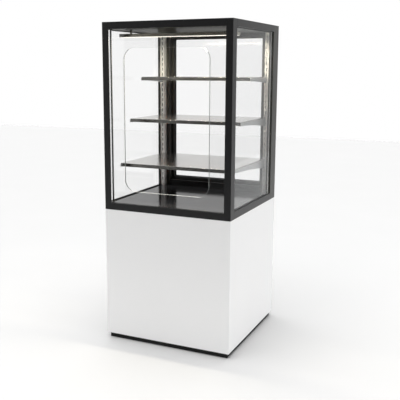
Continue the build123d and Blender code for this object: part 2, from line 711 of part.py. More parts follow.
def make_front_glass():
    """One pane with a rounded cut-out that customers reach through."""
    pane = block(sym(FLANGE_X - GLAZING_GAP), (FLANGE_Y, GLASS_Y), PANE_Z)
    low_z = CASE_Z + SERVING_SILL
    hole = block(sym(RIGHT - SERVING_SIDE), (FLANGE_Y, GLASS_Y), (low_z, low_z + SERVING_HEIGHT))
    return pane - fillet(hole.edges().filter_by(Axis.Y), SERVING_RADIUS)


def make_side_glass():
    pane_y = (GLASS_Y + GLAZING_GAP, TUBE_Y - GLAZING_GAP)
    return block((GLASS_X, FLANGE_X), pane_y, PANE_Z)


def make_side_seal():
    """A rubber bead round the inner face of the right-hand pane. Its foot fills the
    joint between the pane and the deck glass."""
    ring_x = (GLASS_X - SEAL_THICKNESS, GLASS_X)
    ring_y = (FRONT + FRONT_POST_SIDE + SEAL_POST_GAP, UPRIGHT_Y - SEAL_REAR_GAP)
    inside_y = (ring_y[0] + SEAL_WIDTH, ring_y[1] - SEAL_WIDTH)
    inside_z = (DECK_Z + SEAL_HEIGHT, CEILING_Z - SEAL_HEIGHT)
    ring = block(ring_x, ring_y, (DECK_Z, CEILING_Z)) - block(ring_x, inside_y, inside_z)
    return ring + block(ring_x, (INNER_Y, ring_y[1]), (DECK_Z - DECK_THICKNESS, DECK_Z))


# Deck and ceiling
INNER_SPAN_Y = (INNER_Y, TUBE_Y - GLAZING_GAP)
HEATER_Z = (DECK_Z - DECK_THICKNESS - HEATER_THICKNESS, DECK_Z - DECK_THICKNESS)


def make_deck_glass():
    """The heated glass between the two beads, notched round the two uprights."""
    edge_x = GLASS_X - SEAL_THICKNESS - GLAZING_GAP
    deck_z = (DECK_Z - DECK_THICKNESS, DECK_Z)
    notch_x = (GLASS_X - UPRIGHT_WIDTH - DECK_NOTCH_GAP, edge_x)
    notch = block(notch_x, (UPRIGHT_Y - DECK_NOTCH_GAP, INNER_SPAN_Y[1]), deck_z)
    return block(sym(edge_x), INNER_SPAN_Y, deck_z) - notch - mirrored(notch)


def make_deck_heater_mat():
    span_y = (INNER_SPAN_Y[0] + HEATER_MARGIN, INNER_SPAN_Y[1] - HEATER_MARGIN)
    return block(sym(INNER_X - HEATER_MARGIN), span_y, HEATER_Z)


def make_deck_tray():
    """A pan on the lower ledge, with a raised bed that carries the heater mat."""
    pan_z = (LOWER_LEDGE_Z, DECK_Z - DECK_THICKNESS)
    pan = tray(sym(INNER_X), INNER_SPAN_Y, pan_z, TRAY_SHEET)
    bed_y = (INNER_SPAN_Y[0] + HEATER_MARGIN, INNER_SPAN_Y[1] - HEATER_MARGIN)
    bed = block(sym(INNER_X - HEATER_MARGIN), bed_y, (LOWER_LEDGE_Z, HEATER_Z[0]))
    hollow_y = (bed_y[0] + TRAY_SHEET, bed_y[1] - TRAY_SHEET)
    hollow_z = (LOWER_LEDGE_Z, HEATER_Z[0] - TRAY_SHEET)
    return pan + bed - block(sym(INNER_X - HEATER_MARGIN - TRAY_SHEET), hollow_y, hollow_z)


def make_ceiling_panel():
    return tray(sym(INNER_X), INNER_SPAN_Y, (CEILING_Z, UPPER_LEDGE_Z), TRAY_SHEET)


# Uprights, brackets and shelves
SLOT_X = SHELF_X + BRACKET_SHEET / 2


def slot_heights():
    """Centres of the slots, counted down from the top of the upright."""
    first = CEILING_Z - SLOT_MARGIN
    count = int((CEILING_Z - DECK_Z - 2 * SLOT_MARGIN) // SLOT_PITCH) + 1
    return [first - index * SLOT_PITCH for index in range(count)]


def hook_heights(shelf):
    """The slot that a bracket's hook hangs in: the highest one below the shelf's top."""
    top = DECK_Z + shelf["height"] - BRACKET_TOP
    below = [z for z in slot_heights() if z + HOOK_HEIGHT / 2 <= top]
    return below[:1]


def make_upright():
    """Right-hand shelf upright: a slotted channel open to the rear, on the deck's tray."""
    upright_x = (GLASS_X - UPRIGHT_WIDTH, GLASS_X)
    inner_x = (upright_x[0] + UPRIGHT_SHEET, upright_x[1] - UPRIGHT_SHEET)
    height = (DECK_Z - DECK_THICKNESS, CEILING_Z)
    channel = block(upright_x, (UPRIGHT_Y, TUBE_Y), height)
    channel -= block(inner_x, (UPRIGHT_Y + UPRIGHT_SHEET, TUBE_Y), height)
    slots = [
        block(about(SLOT_X, SLOT_WIDTH), (UPRIGHT_Y, UPRIGHT_Y + UPRIGHT_SHEET), about(z, SLOT_HEIGHT))
        for z in slot_heights()
    ]
    return channel - slots


def make_bracket(shelf):
    """Right-hand bracket: a tapering plate with a lip under the shelf and a hook."""
    top_z = DECK_Z + shelf["height"]
    front_y = FRONT + shelf["front"]
    nose = (front_y, top_z - BRACKET_NOSE)
    heel = (UPRIGHT_Y, top_z - shelf["bracket_drop"])
    run, fall = heel[0] - nose[0], heel[1] - nose[1]
    belly = (nose[0] + BRACKET_BELLY[0] * run, nose[1] + BRACKET_BELLY[1] * fall)
    upper = Polyline(nose, (front_y, top_z - BRACKET_TOP), (UPRIGHT_Y, top_z - BRACKET_TOP), heel)
    outline = make_face(upper + ThreePointArc(nose, belly, heel))
    plate = Pos(SHELF_X, 0, 0) * extrude(Plane.YZ * outline, BRACKET_SHEET)
    lip_z = (top_z - SHELF_THICKNESS - SHELF_SHEET, top_z - SHELF_THICKNESS)
    lip_x = (SHELF_X - BRACKET_LIP, SHELF_X)
    plate += block(lip_x, (front_y, SHELF_REAR_Y), lip_z)
    for z in hook_heights(shelf):
        hook_y = (UPRIGHT_Y, UPRIGHT_Y + HOOK_LENGTH)
        plate += block((SHELF_X, SHELF_X + BRACKET_SHEET), hook_y, about(z, HOOK_HEIGHT))
    return plate


def make_shelf(shelf):
    """A folded pan, open below, with a narrow lip turned in along front and rear."""
    top_z = DECK_Z + shelf["height"]
    span_y = (FRONT + shelf["front"], SHELF_REAR_Y)
    span_z = (top_z - SHELF_THICKNESS, top_z)
    pan = tray(sym(SHELF_X), span_y, span_z, SHELF_SHEET, floor_low=False)
    lip_z = (span_z[0], span_z[0] + SHELF_SHEET)
    pan += block(sym(SHELF_X), (span_y[0], span_y[0] + SHELF_LIP), lip_z)
    return pan + block(sym(SHELF_X), (span_y[1] - SHELF_LIP, span_y[1]), lip_z)


def make_shelf_heater(shelf):
    """A foil heater bonded under the shelf's top sheet."""
    under = DECK_Z + shelf["height"] - SHELF_SHEET
    margin = SHELF_HEATER_MARGIN
    span_y = (FRONT + shelf["front"] + margin, SHELF_REAR_Y - margin)
    half_x = SHELF_X - margin
    return block(sym(half_x), span_y, (under - HEATER_THICKNESS, under))


# Light bar
def make_light_bar_body():
    """A long pan, open below, hung from the ceiling on two studs."""
    body = tray(sym(BAR_X), BAR_Y, (BAR_LOW_Z, BAR_TOP_Z), BAR_SHEET, floor_low=False)
    for x in sym(BAR_X - HANGER_INSET):
        body += rod(HANGER_RADIUS, x, sum(BAR_Y) / 2, (BAR_TOP_Z, CEILING_Z))
    return body


def make_light_bar_diffuser():
    """The milky plate that closes the bar's underside."""
    span_y = (BAR_Y[0] + BAR_SHEET, BAR_Y[1] - BAR_SHEET)
    diffuser_z = (BAR_LOW_Z, BAR_LOW_Z + DIFFUSER_THICKNESS)
    return block(sym(BAR_X - BAR_SHEET), span_y, diffuser_z)


def make_light_bar_strips():
    """Light strips on the underside of the bar's top sheet."""
    under = BAR_TOP_Z - BAR_SHEET
    pitch = BAR_DEPTH / LED_STRIP_COUNT
    strips = []
    for index in range(LED_STRIP_COUNT):
        y = BAR_Y[0] + (index + 0.5) * pitch
        strip_x = sym(BAR_X - LED_STRIP_MARGIN)
        strip_z = (under - LED_STRIP_THICKNESS, under)
        strips.append(block(strip_x, about(y, LED_STRIP_WIDTH), strip_z))
    return Compound(strips)


# Rear glass door
DOOR_HINGE = (-LEAF_X + HINGE_INSET, REAR - HINGE_SETBACK)
DOOR_IN_X = LEAF_X - DOOR_STILE
DOOR_IN_Z = (LEAF_LOW_Z + DOOR_BOTTOM_RAIL, LEAF_TOP_Z - DOOR_TOP_RAIL)
DOOR_PULL_X = LEAF_X - PULL_EDGE - PULL_WIDTH / 2
DOOR_GLASS_Y = about((LEAF_Y + REAR) / 2, DOOR_GLASS)


def door_bores():
    depth = DOOR_GAP + PIN_REACH
    return hinge_bores(*DOOR_HINGE, LEAF_LOW_Z, LEAF_TOP_Z, depth)


def door_pane(clearance=0.0):
    bite = DOOR_GLASS_BITE - GLAZING_GAP + clearance
    pane_y = (DOOR_GLASS_Y[0] - clearance, DOOR_GLASS_Y[1] + clearance)
    pane_z = (DOOR_IN_Z[0] - bite, DOOR_IN_Z[1] + bite)
    return block(sym(DOOR_IN_X + bite), pane_y, pane_z)


def make_door_frame():
    """Two stiles and two rails round the pane, with a bevelled heel at the hinge."""
    leaf_y = (LEAF_Y, REAR)
    frame = block(sym(LEAF_X), leaf_y, (LEAF_LOW_Z, LEAF_TOP_Z))
    frame -= block(sym(DOOR_IN_X), leaf_y, DOOR_IN_Z)
    frame -= door_pane(GLAZING_GAP)
    corner = (-LEAF_X, LEAF_Y)
    heel = make_face(Polyline(corner, (corner[0] + HEEL_CHAMFER[0], corner[1]),
                              (corner[0], corner[1] + HEEL_CHAMFER[1]), close=True))
    frame -= Pos(0, 0, LEAF_LOW_Z) * extrude(heel, LEAF_TOP_Z - LEAF_LOW_Z)
    frame -= flush_pull(DOOR_PULL_X, REAR, DOOR_PULL_HEIGHT, PULL_CLEARANCE)
    return frame - hinge_bores(*DOOR_HINGE, LEAF_LOW_Z, LEAF_TOP_Z, depth=0)


def make_door_gasket():
    """A rubber ring on the stops that the closed leaf rests against."""
    ring_y = (STOP_Y, STOP_Y + GASKET_THICKNESS)
    outer_z = (LEAF_LOW_Z + GASKET_EDGE, LEAF_TOP_Z - GASKET_EDGE)
    inner_z = (STOP_LOW_Z - GASKET_EDGE, STOP_TOP_Z + GASKET_EDGE)
    inner_x = STOP_X + GASKET_EDGE
    ring = block(sym(LEAF_X - GASKET_EDGE), ring_y, outer_z)
    return ring - block(sym(inner_x), ring_y, inner_z)


def build_parts():
    parts = {"plinth": make_plinth(), "base_plate": make_base_plate()}
    for place, (x, y) in foot_places().items():
        parts["foot_" + place] = make_foot(x, y)
    front_z = (PEDESTAL_Z, CASE_Z)
    parts["pedestal_front_panel"] = block((LEFT, RIGHT), (FRONT, PANEL_Y), front_z)
    parts["pedestal_right_panel"] = make_side_panel()
    parts["pedestal_left_panel"] = mirrored(make_side_panel())
    parts["pedestal_rear_panel"] = make_rear_panel()
    parts["pedestal_top_plate"] = make_top_plate()
    parts["service_door"] = make_service_door()
    parts["service_door_pull"] = cup_pull(SERVICE_PULL_X, REAR_PANEL_Y, SERVICE_PULL_Z)
    parts["service_door_pins"] = Compound([*hinge_pins(*SERVICE_HINGE, *SERVICE_LEAF_Z)])
    parts["service_door_hinge_plates"] = make_service_hinge_plates()
    parts["control_panel"] = make_control_panel()
    parts["controller_body"] = make_controller_body()
    parts["controller_window"] = make_controller_window()
    for name, (x, z) in button_places().items():
        parts["button_" + name] = make_button(x, z)
    housings = [make_switch_housing(x) for x in SWITCH_XS.values()]
    parts["switch_housings"] = Compound(housings)
    for name, x in SWITCH_XS.items():
        parts[name + "_rocker"] = make_rocker(x)
    parts["power_inlet"] = make_power_inlet()
    parts["relay"] = make_relay()
    parts["led_driver"] = make_led_driver()
    parts["front_right_post"] = make_front_post()
    parts["front_left_post"] = mirrored(make_front_post())
    parts["rear_right_post"] = make_rear_post()
    parts["rear_left_post"] = mirrored(make_rear_post())
    parts["top_frame"] = make_top_frame()
    parts["bottom_frame"] = make_bottom_frame()
    parts["roof_panel"] = make_roof_panel()
    parts["ceiling_panel"] = make_ceiling_panel()
    parts["screws"] = make_screws()
    parts["front_glass"] = make_front_glass()
    parts["right_glass"] = make_side_glass()
    parts["left_glass"] = mirrored(make_side_glass())
    parts["side_glass_seals"] = Compound([make_side_seal(), mirrored(make_side_seal())])
    parts["deck_glass"] = make_deck_glass()
    parts["deck_heater_mat"] = make_deck_heater_mat()
    parts["deck_tray"] = make_deck_tray()
    parts["right_upright"] = make_upright()
    parts["left_upright"] = mirrored(make_upright())
    for name, shelf in SHELVES.items():
        parts[name + "_shelf"] = make_shelf(shelf)
        bracket = make_bracket(shelf)
        parts[name + "_shelf_brackets"] = Compound([bracket, mirrored(bracket)])
    heaters = [make_shelf_heater(shelf) for shelf in SHELVES.values()]
    parts["shelf_heater_foils"] = Compound(heaters)
    parts["light_bar_body"] = make_light_bar_body()
    parts["light_bar_diffuser"] = make_light_bar_diffuser()
    parts["light_bar_strips"] = make_light_bar_strips()
    parts["door_frame"] = make_door_frame()
    parts["door_glass"] = door_pane()
    parts["door_gasket"] = make_door_gasket()
    parts["door_pull"] = cup_pull(DOOR_PULL_X, REAR, DOOR_PULL_HEIGHT)
    pins = hinge_pins(*DOOR_HINGE, LEAF_LOW_Z, LEAF_TOP_Z)
    parts["door_pivot_pins"] = Compound([*pins])
    return parts


os.makedirs("parts", exist_ok=True)
for node, shape in build_parts().items():
    export_step(shape, f"parts/{node}.step")
print("hinge axes:", DOOR_HINGE, SERVICE_HINGE, "rocker axis y, z:", ROCKER_Y, CONTROL_Z)
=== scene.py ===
# %% [markdown]
# # A heated display case on a white pedestal
#
# The real object is a slim tower: a folded sheet pedestal, a black-framed glass case
# with three stainless shelves, a light bar, a heated black glass deck and a glazed
# door behind. The solids of all its pieces are already made and come in as a fixed
# frame. This lesson dresses them: it rounds the edges that catch the light, adds the
# small pieces that repeat, and gives every piece a finish built from nodes.

import json
import math

import bmesh
import bpy
from mathutils import Matrix, Vector


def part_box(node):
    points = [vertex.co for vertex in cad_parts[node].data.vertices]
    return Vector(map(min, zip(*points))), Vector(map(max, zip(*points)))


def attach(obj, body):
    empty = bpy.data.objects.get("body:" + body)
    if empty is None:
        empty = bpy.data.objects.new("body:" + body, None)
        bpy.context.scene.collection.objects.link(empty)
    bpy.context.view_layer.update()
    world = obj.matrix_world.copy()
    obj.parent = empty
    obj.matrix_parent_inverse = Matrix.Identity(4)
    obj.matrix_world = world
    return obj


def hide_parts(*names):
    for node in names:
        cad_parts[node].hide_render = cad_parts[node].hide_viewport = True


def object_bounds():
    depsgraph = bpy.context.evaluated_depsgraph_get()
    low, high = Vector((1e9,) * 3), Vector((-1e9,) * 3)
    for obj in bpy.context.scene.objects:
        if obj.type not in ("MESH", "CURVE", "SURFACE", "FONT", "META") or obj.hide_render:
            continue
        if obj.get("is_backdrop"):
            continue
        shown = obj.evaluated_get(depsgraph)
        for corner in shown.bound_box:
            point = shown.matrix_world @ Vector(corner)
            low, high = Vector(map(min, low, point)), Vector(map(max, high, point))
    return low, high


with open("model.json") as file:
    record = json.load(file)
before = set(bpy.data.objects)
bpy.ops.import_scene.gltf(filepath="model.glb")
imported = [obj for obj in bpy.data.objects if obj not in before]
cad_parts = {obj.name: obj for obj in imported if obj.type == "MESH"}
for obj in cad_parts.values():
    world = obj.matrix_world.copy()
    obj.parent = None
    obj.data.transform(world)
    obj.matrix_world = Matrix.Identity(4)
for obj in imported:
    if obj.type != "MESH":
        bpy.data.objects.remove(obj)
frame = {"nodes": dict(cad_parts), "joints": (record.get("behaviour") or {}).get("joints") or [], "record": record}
nodes = frame["nodes"]
record = frame["record"]
solid_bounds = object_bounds()
body_of = {node: body for body, group in record["behaviour"]["bodies"].items() for node in group}
slot_of = {part["node"]: part["material_slot"] for part in record["subparts"]}
MM = 0.001

# %% [markdown]
# ## Camera
#
# The lens stands to the right of the case, a little above the shelves, and looks down
# by ten degrees. The numbers come from fitting a pinhole camera to the corners of the
# case and the pedestal, so the upright edges lean as they do in the photograph. The
# small shift only slides the frame, it does not bend anything.

# %% Camera
CAMERA_PLACE = (1.26609, -2.84530, 1.2293)
CAMERA_PITCH = 10.584
CAMERA_TURN = 25.392
CAMERA_LENS = 60.748
CAMERA_SENSOR = 36.0
CAMERA_SHIFT = (0.0565, -0.0150)
CAMERA_NEAR = 0.05

lens = bpy.data.cameras.new("camera")
lens.sensor_width = CAMERA_SENSOR
lens.lens = CAMERA_LENS
lens.shift_x, lens.shift_y = CAMERA_SHIFT
lens.clip_start = CAMERA_NEAR
camera = bpy.data.objects.new("camera", lens)
camera.location = CAMERA_PLACE
camera.rotation_euler = (math.radians(90 - CAMERA_PITCH), 0, math.radians(CAMERA_TURN))
bpy.context.scene.collection.objects.link(camera)
bpy.context.scene.camera = camera
bpy.context.scene.view_settings.view_transform = "Standard"
print("camera", round(Vector(CAMERA_PLACE).length, 2), "m from the origin")

# %% [markdown]
# ## Writing shader maths as sums
#
# A finish is easier to read as an expression than as a chain of nodes. A Wire stands
# for one socket, and adding or multiplying wires adds Math nodes. A plain number may
# stand on either side of a sum or a product.


# %% Wires
class Wire:
    """One output socket of a node tree, which can be used in sums."""

    def __init__(self, tree, socket):
        self.tree = tree
        self.socket = socket

    def sum(self, operation, first, second):
        """A Math node on two wires or numbers."""
        return self.tree.node("ShaderNodeMath", {"operation": operation}, {0: first, 1: second})

    def __add__(self, other):
        return self.sum("ADD", self, other)

    def __mul__(self, other):
        return self.sum("MULTIPLY", self, other)

    def __sub__(self, other):
        return self.sum("SUBTRACT", self, other)

    def __gt__(self, other):
        return self.sum("GREATER_THAN", self, other)

    def __pow__(self, other):
        return self.sum("POWER", self, other)

    __radd__ = __add__
    __rmul__ = __mul__


def skills(kind):
    """The names of what a class can do, for printing."""
    return ", ".join(name.strip("_") for name, thing in vars(kind).items() if callable(thing))


print("a wire knows:", skills(Wire))

# %% [markdown]
# ## One method for every node
#
# Made by hand, a node takes a line for itself and one more for each setting and link.
# A tree does it in one call, which takes the node's type, its settings and its
# sockets. Two mixtures come back so often that they have names of their own: a blend
# of two colours, and a smooth ramp between two values.


# %% Trees
class Tree:
    """A node tree whose nodes all come from one method."""

    def __init__(self, tree):
        self.tree = tree

    def node(self, kind, settings=None, sockets=None, out=0):
        """Adds a node, gives it its settings first, then the values or links of its sockets."""
        node = self.tree.nodes.new(kind)
        for setting, value in (settings or {}).items():
            setattr(node, setting, value)
        for key, value in (sockets or {}).items():
            if isinstance(value, Wire):
                self.tree.links.new(value.socket, node.inputs[key])
            else:
                node.inputs[key].default_value = value
        return Wire(self, node.outputs[out]) if node.outputs else None

    def blend(self, factor, low, high):
        """A colour that goes from low to high with the factor."""
        return self.node("ShaderNodeMix", {"data_type": "RGBA"},
                         {0: factor, 6: (*low, 1.0), 7: (*high, 1.0)}, out=2)

    def ramp(self, value, low, high, bottom=0.0, top=1.0):
        """A smooth step from bottom to top while the value goes from low to high."""
        return self.node("ShaderNodeMapRange", {"interpolation_type": "SMOOTHSTEP"},
                         {"Value": value, "From Min": low, "From Max": high,
                          "To Min": bottom, "To Max": top})


print("a tree knows:", skills(Tree))

# %% [markdown]
# ## What a finish is
#
# Each finish is a material with one Principled shader. What is even all over is set on
# the shader's own sockets. What changes over the surface is linked, and only to colour,
# roughness, alpha, glow or the normal, which can be baked when the model is exported.
# The noise is worked out in metres on the object, so a grain has a real size and stays
# on its piece when the piece moves.

# %% Finishes
EVEN = (1.0, 1.0, 1.0)
NOISE_MEAN = 0.5


class Finish(Tree):
    """A material with one Principled shader, whose even values are set by name."""

    def __init__(self, name, **values):
        self.material = bpy.data.materials.new(name)
        self.material.use_nodes = True
        super().__init__(self.material.node_tree)
        self.shader = self.tree.nodes["Principled BSDF"]
        for socket, value in values.items():
            self.shader.inputs[socket.replace("_", " ")].default_value = value

    def vary(self, socket, wire):
        """Links what changes over the surface to a socket of the shader."""
        self.tree.links.new(wire.socket, self.shader.inputs[socket])

    def place(self, stretch=EVEN):
        """The point on the object in metres, stretched along each axis."""
        point = self.node("ShaderNodeTexCoord", out="Object")
        return self.node("ShaderNodeVectorMath", {"operation": "MULTIPLY"}, {0: point, 1: stretch})

    def grain(self, stretch, scale, detail=2.0, roughness=0.5):
        """Soft noise with a mean of a half, in cells of one over the scale, in metres."""
        sockets = {"Vector": self.place(stretch), "Scale": scale, "Detail": detail,
                   "Roughness": roughness}
        return self.node("ShaderNodeTexNoise", {}, sockets)

    def relief(self, height, depth):
        """Raises the surface by the height, which is worth depth metres at one."""
        bump = self.node("ShaderNodeBump", {}, {"Height": height, "Distance": depth})
        self.vary("Normal", bump)


print("a finish knows:", skills(Finish))

# %% [markdown]
# ## Painted metal
#
# Powder coat is not smooth: it dries with a faint orange peel, a millimetre or two
# from hill to hill. A shallow noise in Bump gives that ripple to the highlight, and a
# second, slower noise moves the roughness a little, as handling does. The frame's
# black is a finer, glossier coat than the plinth's.

# %% Painted metal
COAT_MIRROR = 0.3
HANDLING_CELLS = 3.0
HANDLING_DULLS = 0.06
PEEL_DULLS = 0.04
HANDLING_LIGHTENS = 1.03


def painted(name, colour, roughness, peel, peel_depth):
    """A coat with an orange peel, given in cells to a metre and in metres of depth."""
    finish = Finish(name, Specular_IOR_Level=COAT_MIRROR)
    slow = finish.grain(EVEN, HANDLING_CELLS)
    fine = finish.grain(EVEN, peel)
    lighter = tuple(min(1.0, channel * HANDLING_LIGHTENS) for channel in colour)
    finish.vary("Base Color", finish.blend(slow, colour, lighter))
    finish.vary("Roughness", roughness + HANDLING_DULLS * (slow - NOISE_MEAN)
                + PEEL_DULLS * (fine - NOISE_MEAN))
    finish.relief(fine, peel_depth)
    return finish.material


WHITE = (0.82, 0.82, 0.82)
BLACK = (0.014, 0.014, 0.0145)
# A lighter copy of the frame's black, which paints light on the rear posts and door frame.
REAR_PAINTED_LIGHT_BLACK = (0.036, 0.035, 0.032)
PLINTH_BLACK = (0.006, 0.006, 0.006)
finishes = {
    "white_paint": painted("white powder coat", WHITE, 0.38, 620.0, 0.00004),
    "black_frame": painted("satin black coat", BLACK, 0.34, 900.0, 0.00003),
    "rear_black": painted("anodised black rear", REAR_PAINTED_LIGHT_BLACK, 0.36, 900.0, 0.00003),
    "black_sheet": painted("black coated sheet", BLACK, 0.42, 900.0, 0.00003),
    "black_plinth": painted("matt black plinth", PLINTH_BLACK, 0.6, 500.0, 0.00005),
}
print("painted finishes:", ", ".join(finishes))

# %% [markdown]
# ## Stainless steel
#
# The shelves are bright stainless with a fine brushed grain along their length, so
# the highlight is drawn out across the grain. A noise that is stretched forty times
# along one axis makes the streaks: they feed roughness and a very shallow bump. The
# uprights are brushed along their height, which is another stretch of the same rule.
# Their steel is a lighter, half matt copy, which paints the light that falls on them.
#
# Seen edge on, a metal turns into a bright mirror whatever its colour is. The ceiling
# shows only at such an angle, and the real one stays dark there. So its steel is painted
# dark and warm, and its Specular Tint, which is the colour of that last mirror, is turned
# down: both paint the shade and dim reflections on the ceiling.

# %% Brushed metal
ALONG_STREAK, ACROSS_STREAK = 6.0, 260.0
STREAK_CELLS, CLOUD_CELLS = 4.0, 9.0
STREAK_DARKENS = 0.9
STREAK_DULLS, CLOUD_DULLS = 0.10, 0.05
STREAK_DEPTH = 0.00002


def brushed(name, colour, roughness, along, metallic=1.0, graze=1.0):
    """Metal with a grain along X, Y or Z, which keeps a share of its mirror edge on."""
    finish = Finish(name, Metallic=metallic, Specular_Tint=(graze, graze, graze, 1.0))
    stretch = tuple(ALONG_STREAK if axis == along else ACROSS_STREAK for axis in "XYZ")
    streak = finish.grain(stretch, STREAK_CELLS, detail=3.0, roughness=0.6)
    cloud = finish.grain(EVEN, CLOUD_CELLS)
    darker = tuple(channel * STREAK_DARKENS for channel in colour)
    finish.vary("Base Color", finish.blend(streak, darker, colour))
    finish.vary("Roughness", roughness + STREAK_DULLS * (streak - NOISE_MEAN)
                + CLOUD_DULLS * (cloud - NOISE_MEAN))
    finish.relief(streak, STREAK_DEPTH)
    return finish.material


STEEL = (0.60, 0.59, 0.57)
# The uprights' steel is lighter and half matt: painted light on a copy of the stainless.
UPRIGHT_PAINTED_LIGHT = (0.86, 0.85, 0.82)
# The ceiling's steel is painted dark and warm: painted shade and dim reflection.
CEILING_PAINTED_SHADE = (0.13, 0.127, 0.105)
# The lip's steel is a darker copy of the shelf steel: painted shade where it faces the dim front.
LIP_PAINTED_SHADE = (0.30, 0.295, 0.28)
# The light bar's steel is darker and warm: painted shade and a painted warm reflection.
BAR_PAINTED_REFLECTION = (0.42, 0.40, 0.33)
finishes["stainless"] = brushed("brushed stainless", STEEL, 0.21, "X")
upright_painted_light = brushed("stainless brushed upright", UPRIGHT_PAINTED_LIGHT, 0.36, "Z", metallic=0.4)
ceiling_painted_shade = brushed("smoked steel ceiling", CEILING_PAINTED_SHADE, 0.30, "X", graze=0.3)
lip_painted_shade = brushed("smoked steel lip", LIP_PAINTED_SHADE, 0.26, "X")
bar_painted_reflection = brushed("smoked steel light bar", BAR_PAINTED_REFLECTION, 0.24, "X")
bracket_finish = brushed("stainless brushed bracket", (0.60, 0.60, 0.60), 0.3, "Y")
finishes["foot_steel"] = brushed("zinc plated foot", (0.50, 0.50, 0.51), 0.35, "Z")
finishes["screw_steel"] = brushed("blackened screw", (0.05, 0.05, 0.05), 0.4, "X")
finishes["heat_sink"] = brushed("raw extrusion", (0.45, 0.45, 0.47), 0.38, "Y")
finishes["driver_case"] = brushed("aluminium case", (0.68, 0.68, 0.69), 0.34, "X")
print("finishes with the brushed ones:", len(finishes))

# %% [markdown]
# ## Zinc sheet
#
# Galvanised sheet is covered with flat crystals, each of another grey and gloss. Noise
# is too soft for that. A Voronoi texture cuts space into cells and gives each cell one
# colour, and one channel of that colour serves as the crystal's tone.

# %% Zinc sheet
CRYSTAL_CELLS = 90.0
CRYSTAL_GLOSS, CRYSTAL_DULLS = 0.32, 0.18
DULL_ZINC, BRIGHT_ZINC = (0.42, 0.43, 0.44), (0.62, 0.63, 0.64)


def galvanised():
    """Zinc sheet, whose crystals show as flat patches of different grey."""
    finish = Finish("galvanised sheet", Metallic=1.0)
    sockets = {"Vector": finish.place(), "Scale": CRYSTAL_CELLS}
    crystal = finish.node("ShaderNodeTexVoronoi", {}, sockets, out="Color")
    tone = finish.node("ShaderNodeSeparateColor", {}, {0: crystal})
    finish.vary("Base Color", finish.blend(tone, DULL_ZINC, BRIGHT_ZINC))
    finish.vary("Roughness", CRYSTAL_GLOSS + CRYSTAL_DULLS * tone)
    return finish.material


finishes["zinc_sheet"] = galvanised()
print("zinc crystals", round(1 / CRYSTAL_CELLS / MM), "mm wide")

# %% [markdown]
# ## Glass
#
# A pane in a window is two mirrors a few millimetres apart with nothing between them:
# face on, each of its faces reflects a twenty-fifth of the light, and the share grows
# with the fifth power of the slant. Unlike the Fresnel node, that power is the same
# from inside the glass. It drives Alpha on a mirror-like shader, so the rest passes
# straight through and the shelves behind are not bent or darkened.
#
# Edge on, real glass mirrors nearly everything. Here the share is held at a little
# over a half, because what the right pane mirrored in the photograph was dimmer than
# this studio is. The ground and polished edge is another finish: it is a grey line with
# a painted glow, which stands for light caught in the pane coming out there, and where
# it lies level it is painted lighter and glows more, a painted highlight.

# %% Glass finishes
FACE_MIRROR = 0.04
EDGE_ON_MIRROR = 0.55
SMEAR_MIRROR = 0.006
SMEAR_STRETCH, SMEAR_CELLS = (1.0, 1.0, 0.4), 14.0
GLASS_TINT = (0.93, 0.95, 0.95, 1.0)
LEVEL_STARTS, LEVEL_ENDS = 0.7, 1.0
EDGE_SOLID, EDGE_RIPPLE = 0.85, 0.15
RIPPLE_CELLS = 160.0
EDGE_GREY = (0.10, 0.11, 0.105)
# The level edges are painted lighter and glow more: a painted highlight.
LEVEL_PAINTED_HIGHLIGHT = (0.34, 0.35, 0.34)
LEVEL_PAINTED_GLOW = (0.55, 0.54, 0.50)
DECK_BLACK = (0.02, 0.02, 0.021, 1.0)
DECK_GLOSS, WIPE_DULLS = 0.07, 0.10
WIPE_STRETCH, WIPE_CELLS = (1.0, 5.0, 1.0), 7.0


def clear_glass():
    """A mirror that is nearly all let through, a little less where a cloth left a smear."""
    finish = Finish("clear glass", Metallic=1.0, Roughness=0.015, Base_Color=GLASS_TINT)
    slant = finish.node("ShaderNodeLayerWeight", {}, {"Blend": 0.5}, out="Facing")
    smear = finish.grain(SMEAR_STRETCH, SMEAR_CELLS)
    finish.vary("Alpha", FACE_MIRROR + EDGE_ON_MIRROR * slant ** 5 + SMEAR_MIRROR * smear)
    return finish.material


def ground_edge():
    """A painted glow for light caught in the pane; the level edges get a painted highlight, the upright ones stay
    grey.
    """
    # The edge glows though it is no lamp: a painted glow.
    finish = Finish("polished glass edge", Roughness=0.2, Emission_Strength=0.55)
    facing = finish.node("ShaderNodeNewGeometry", out="Normal")
    upward = finish.node("ShaderNodeSeparateXYZ", {}, {0: facing}, out="Z")
    level = finish.ramp(upward * upward, LEVEL_STARTS, LEVEL_ENDS)
    ripple = finish.grain(EVEN, RIPPLE_CELLS)
    finish.vary("Base Color", finish.blend(level, EDGE_GREY, LEVEL_PAINTED_HIGHLIGHT))
    finish.vary("Emission Color", finish.blend(level, EDGE_GREY, LEVEL_PAINTED_GLOW))
    finish.vary("Alpha", EDGE_SOLID + EDGE_RIPPLE * ripple)
    return finish.material


def deck_glass():
    """Black glass: a clean gloss with a few dry wipe marks."""
    finish = Finish("black deck glass", Specular_IOR_Level=0.18, Base_Color=DECK_BLACK)
    wipe = finish.grain(WIPE_STRETCH, WIPE_CELLS, detail=4.0)
    finish.vary("Roughness", DECK_GLOSS + WIPE_DULLS * wipe)
    return finish.material


finishes["clear_glass"] = clear_glass()
finishes["black_glass"] = deck_glass()
edge_painted_glow = ground_edge()
print("a pane mirrors", FACE_MIRROR, "face on,", round(FACE_MIRROR + EDGE_ON_MIRROR, 2), "edge on")

# %% [markdown]
# ## Plastic, rubber and light
#
# Moulded plastic has a spark-eroded texture, rubber is duller and never quite black,
# and the light bar's cover glows evenly with a warm tint. Only the glow's colour is
# allowed to vary, so its strength is one plain value.

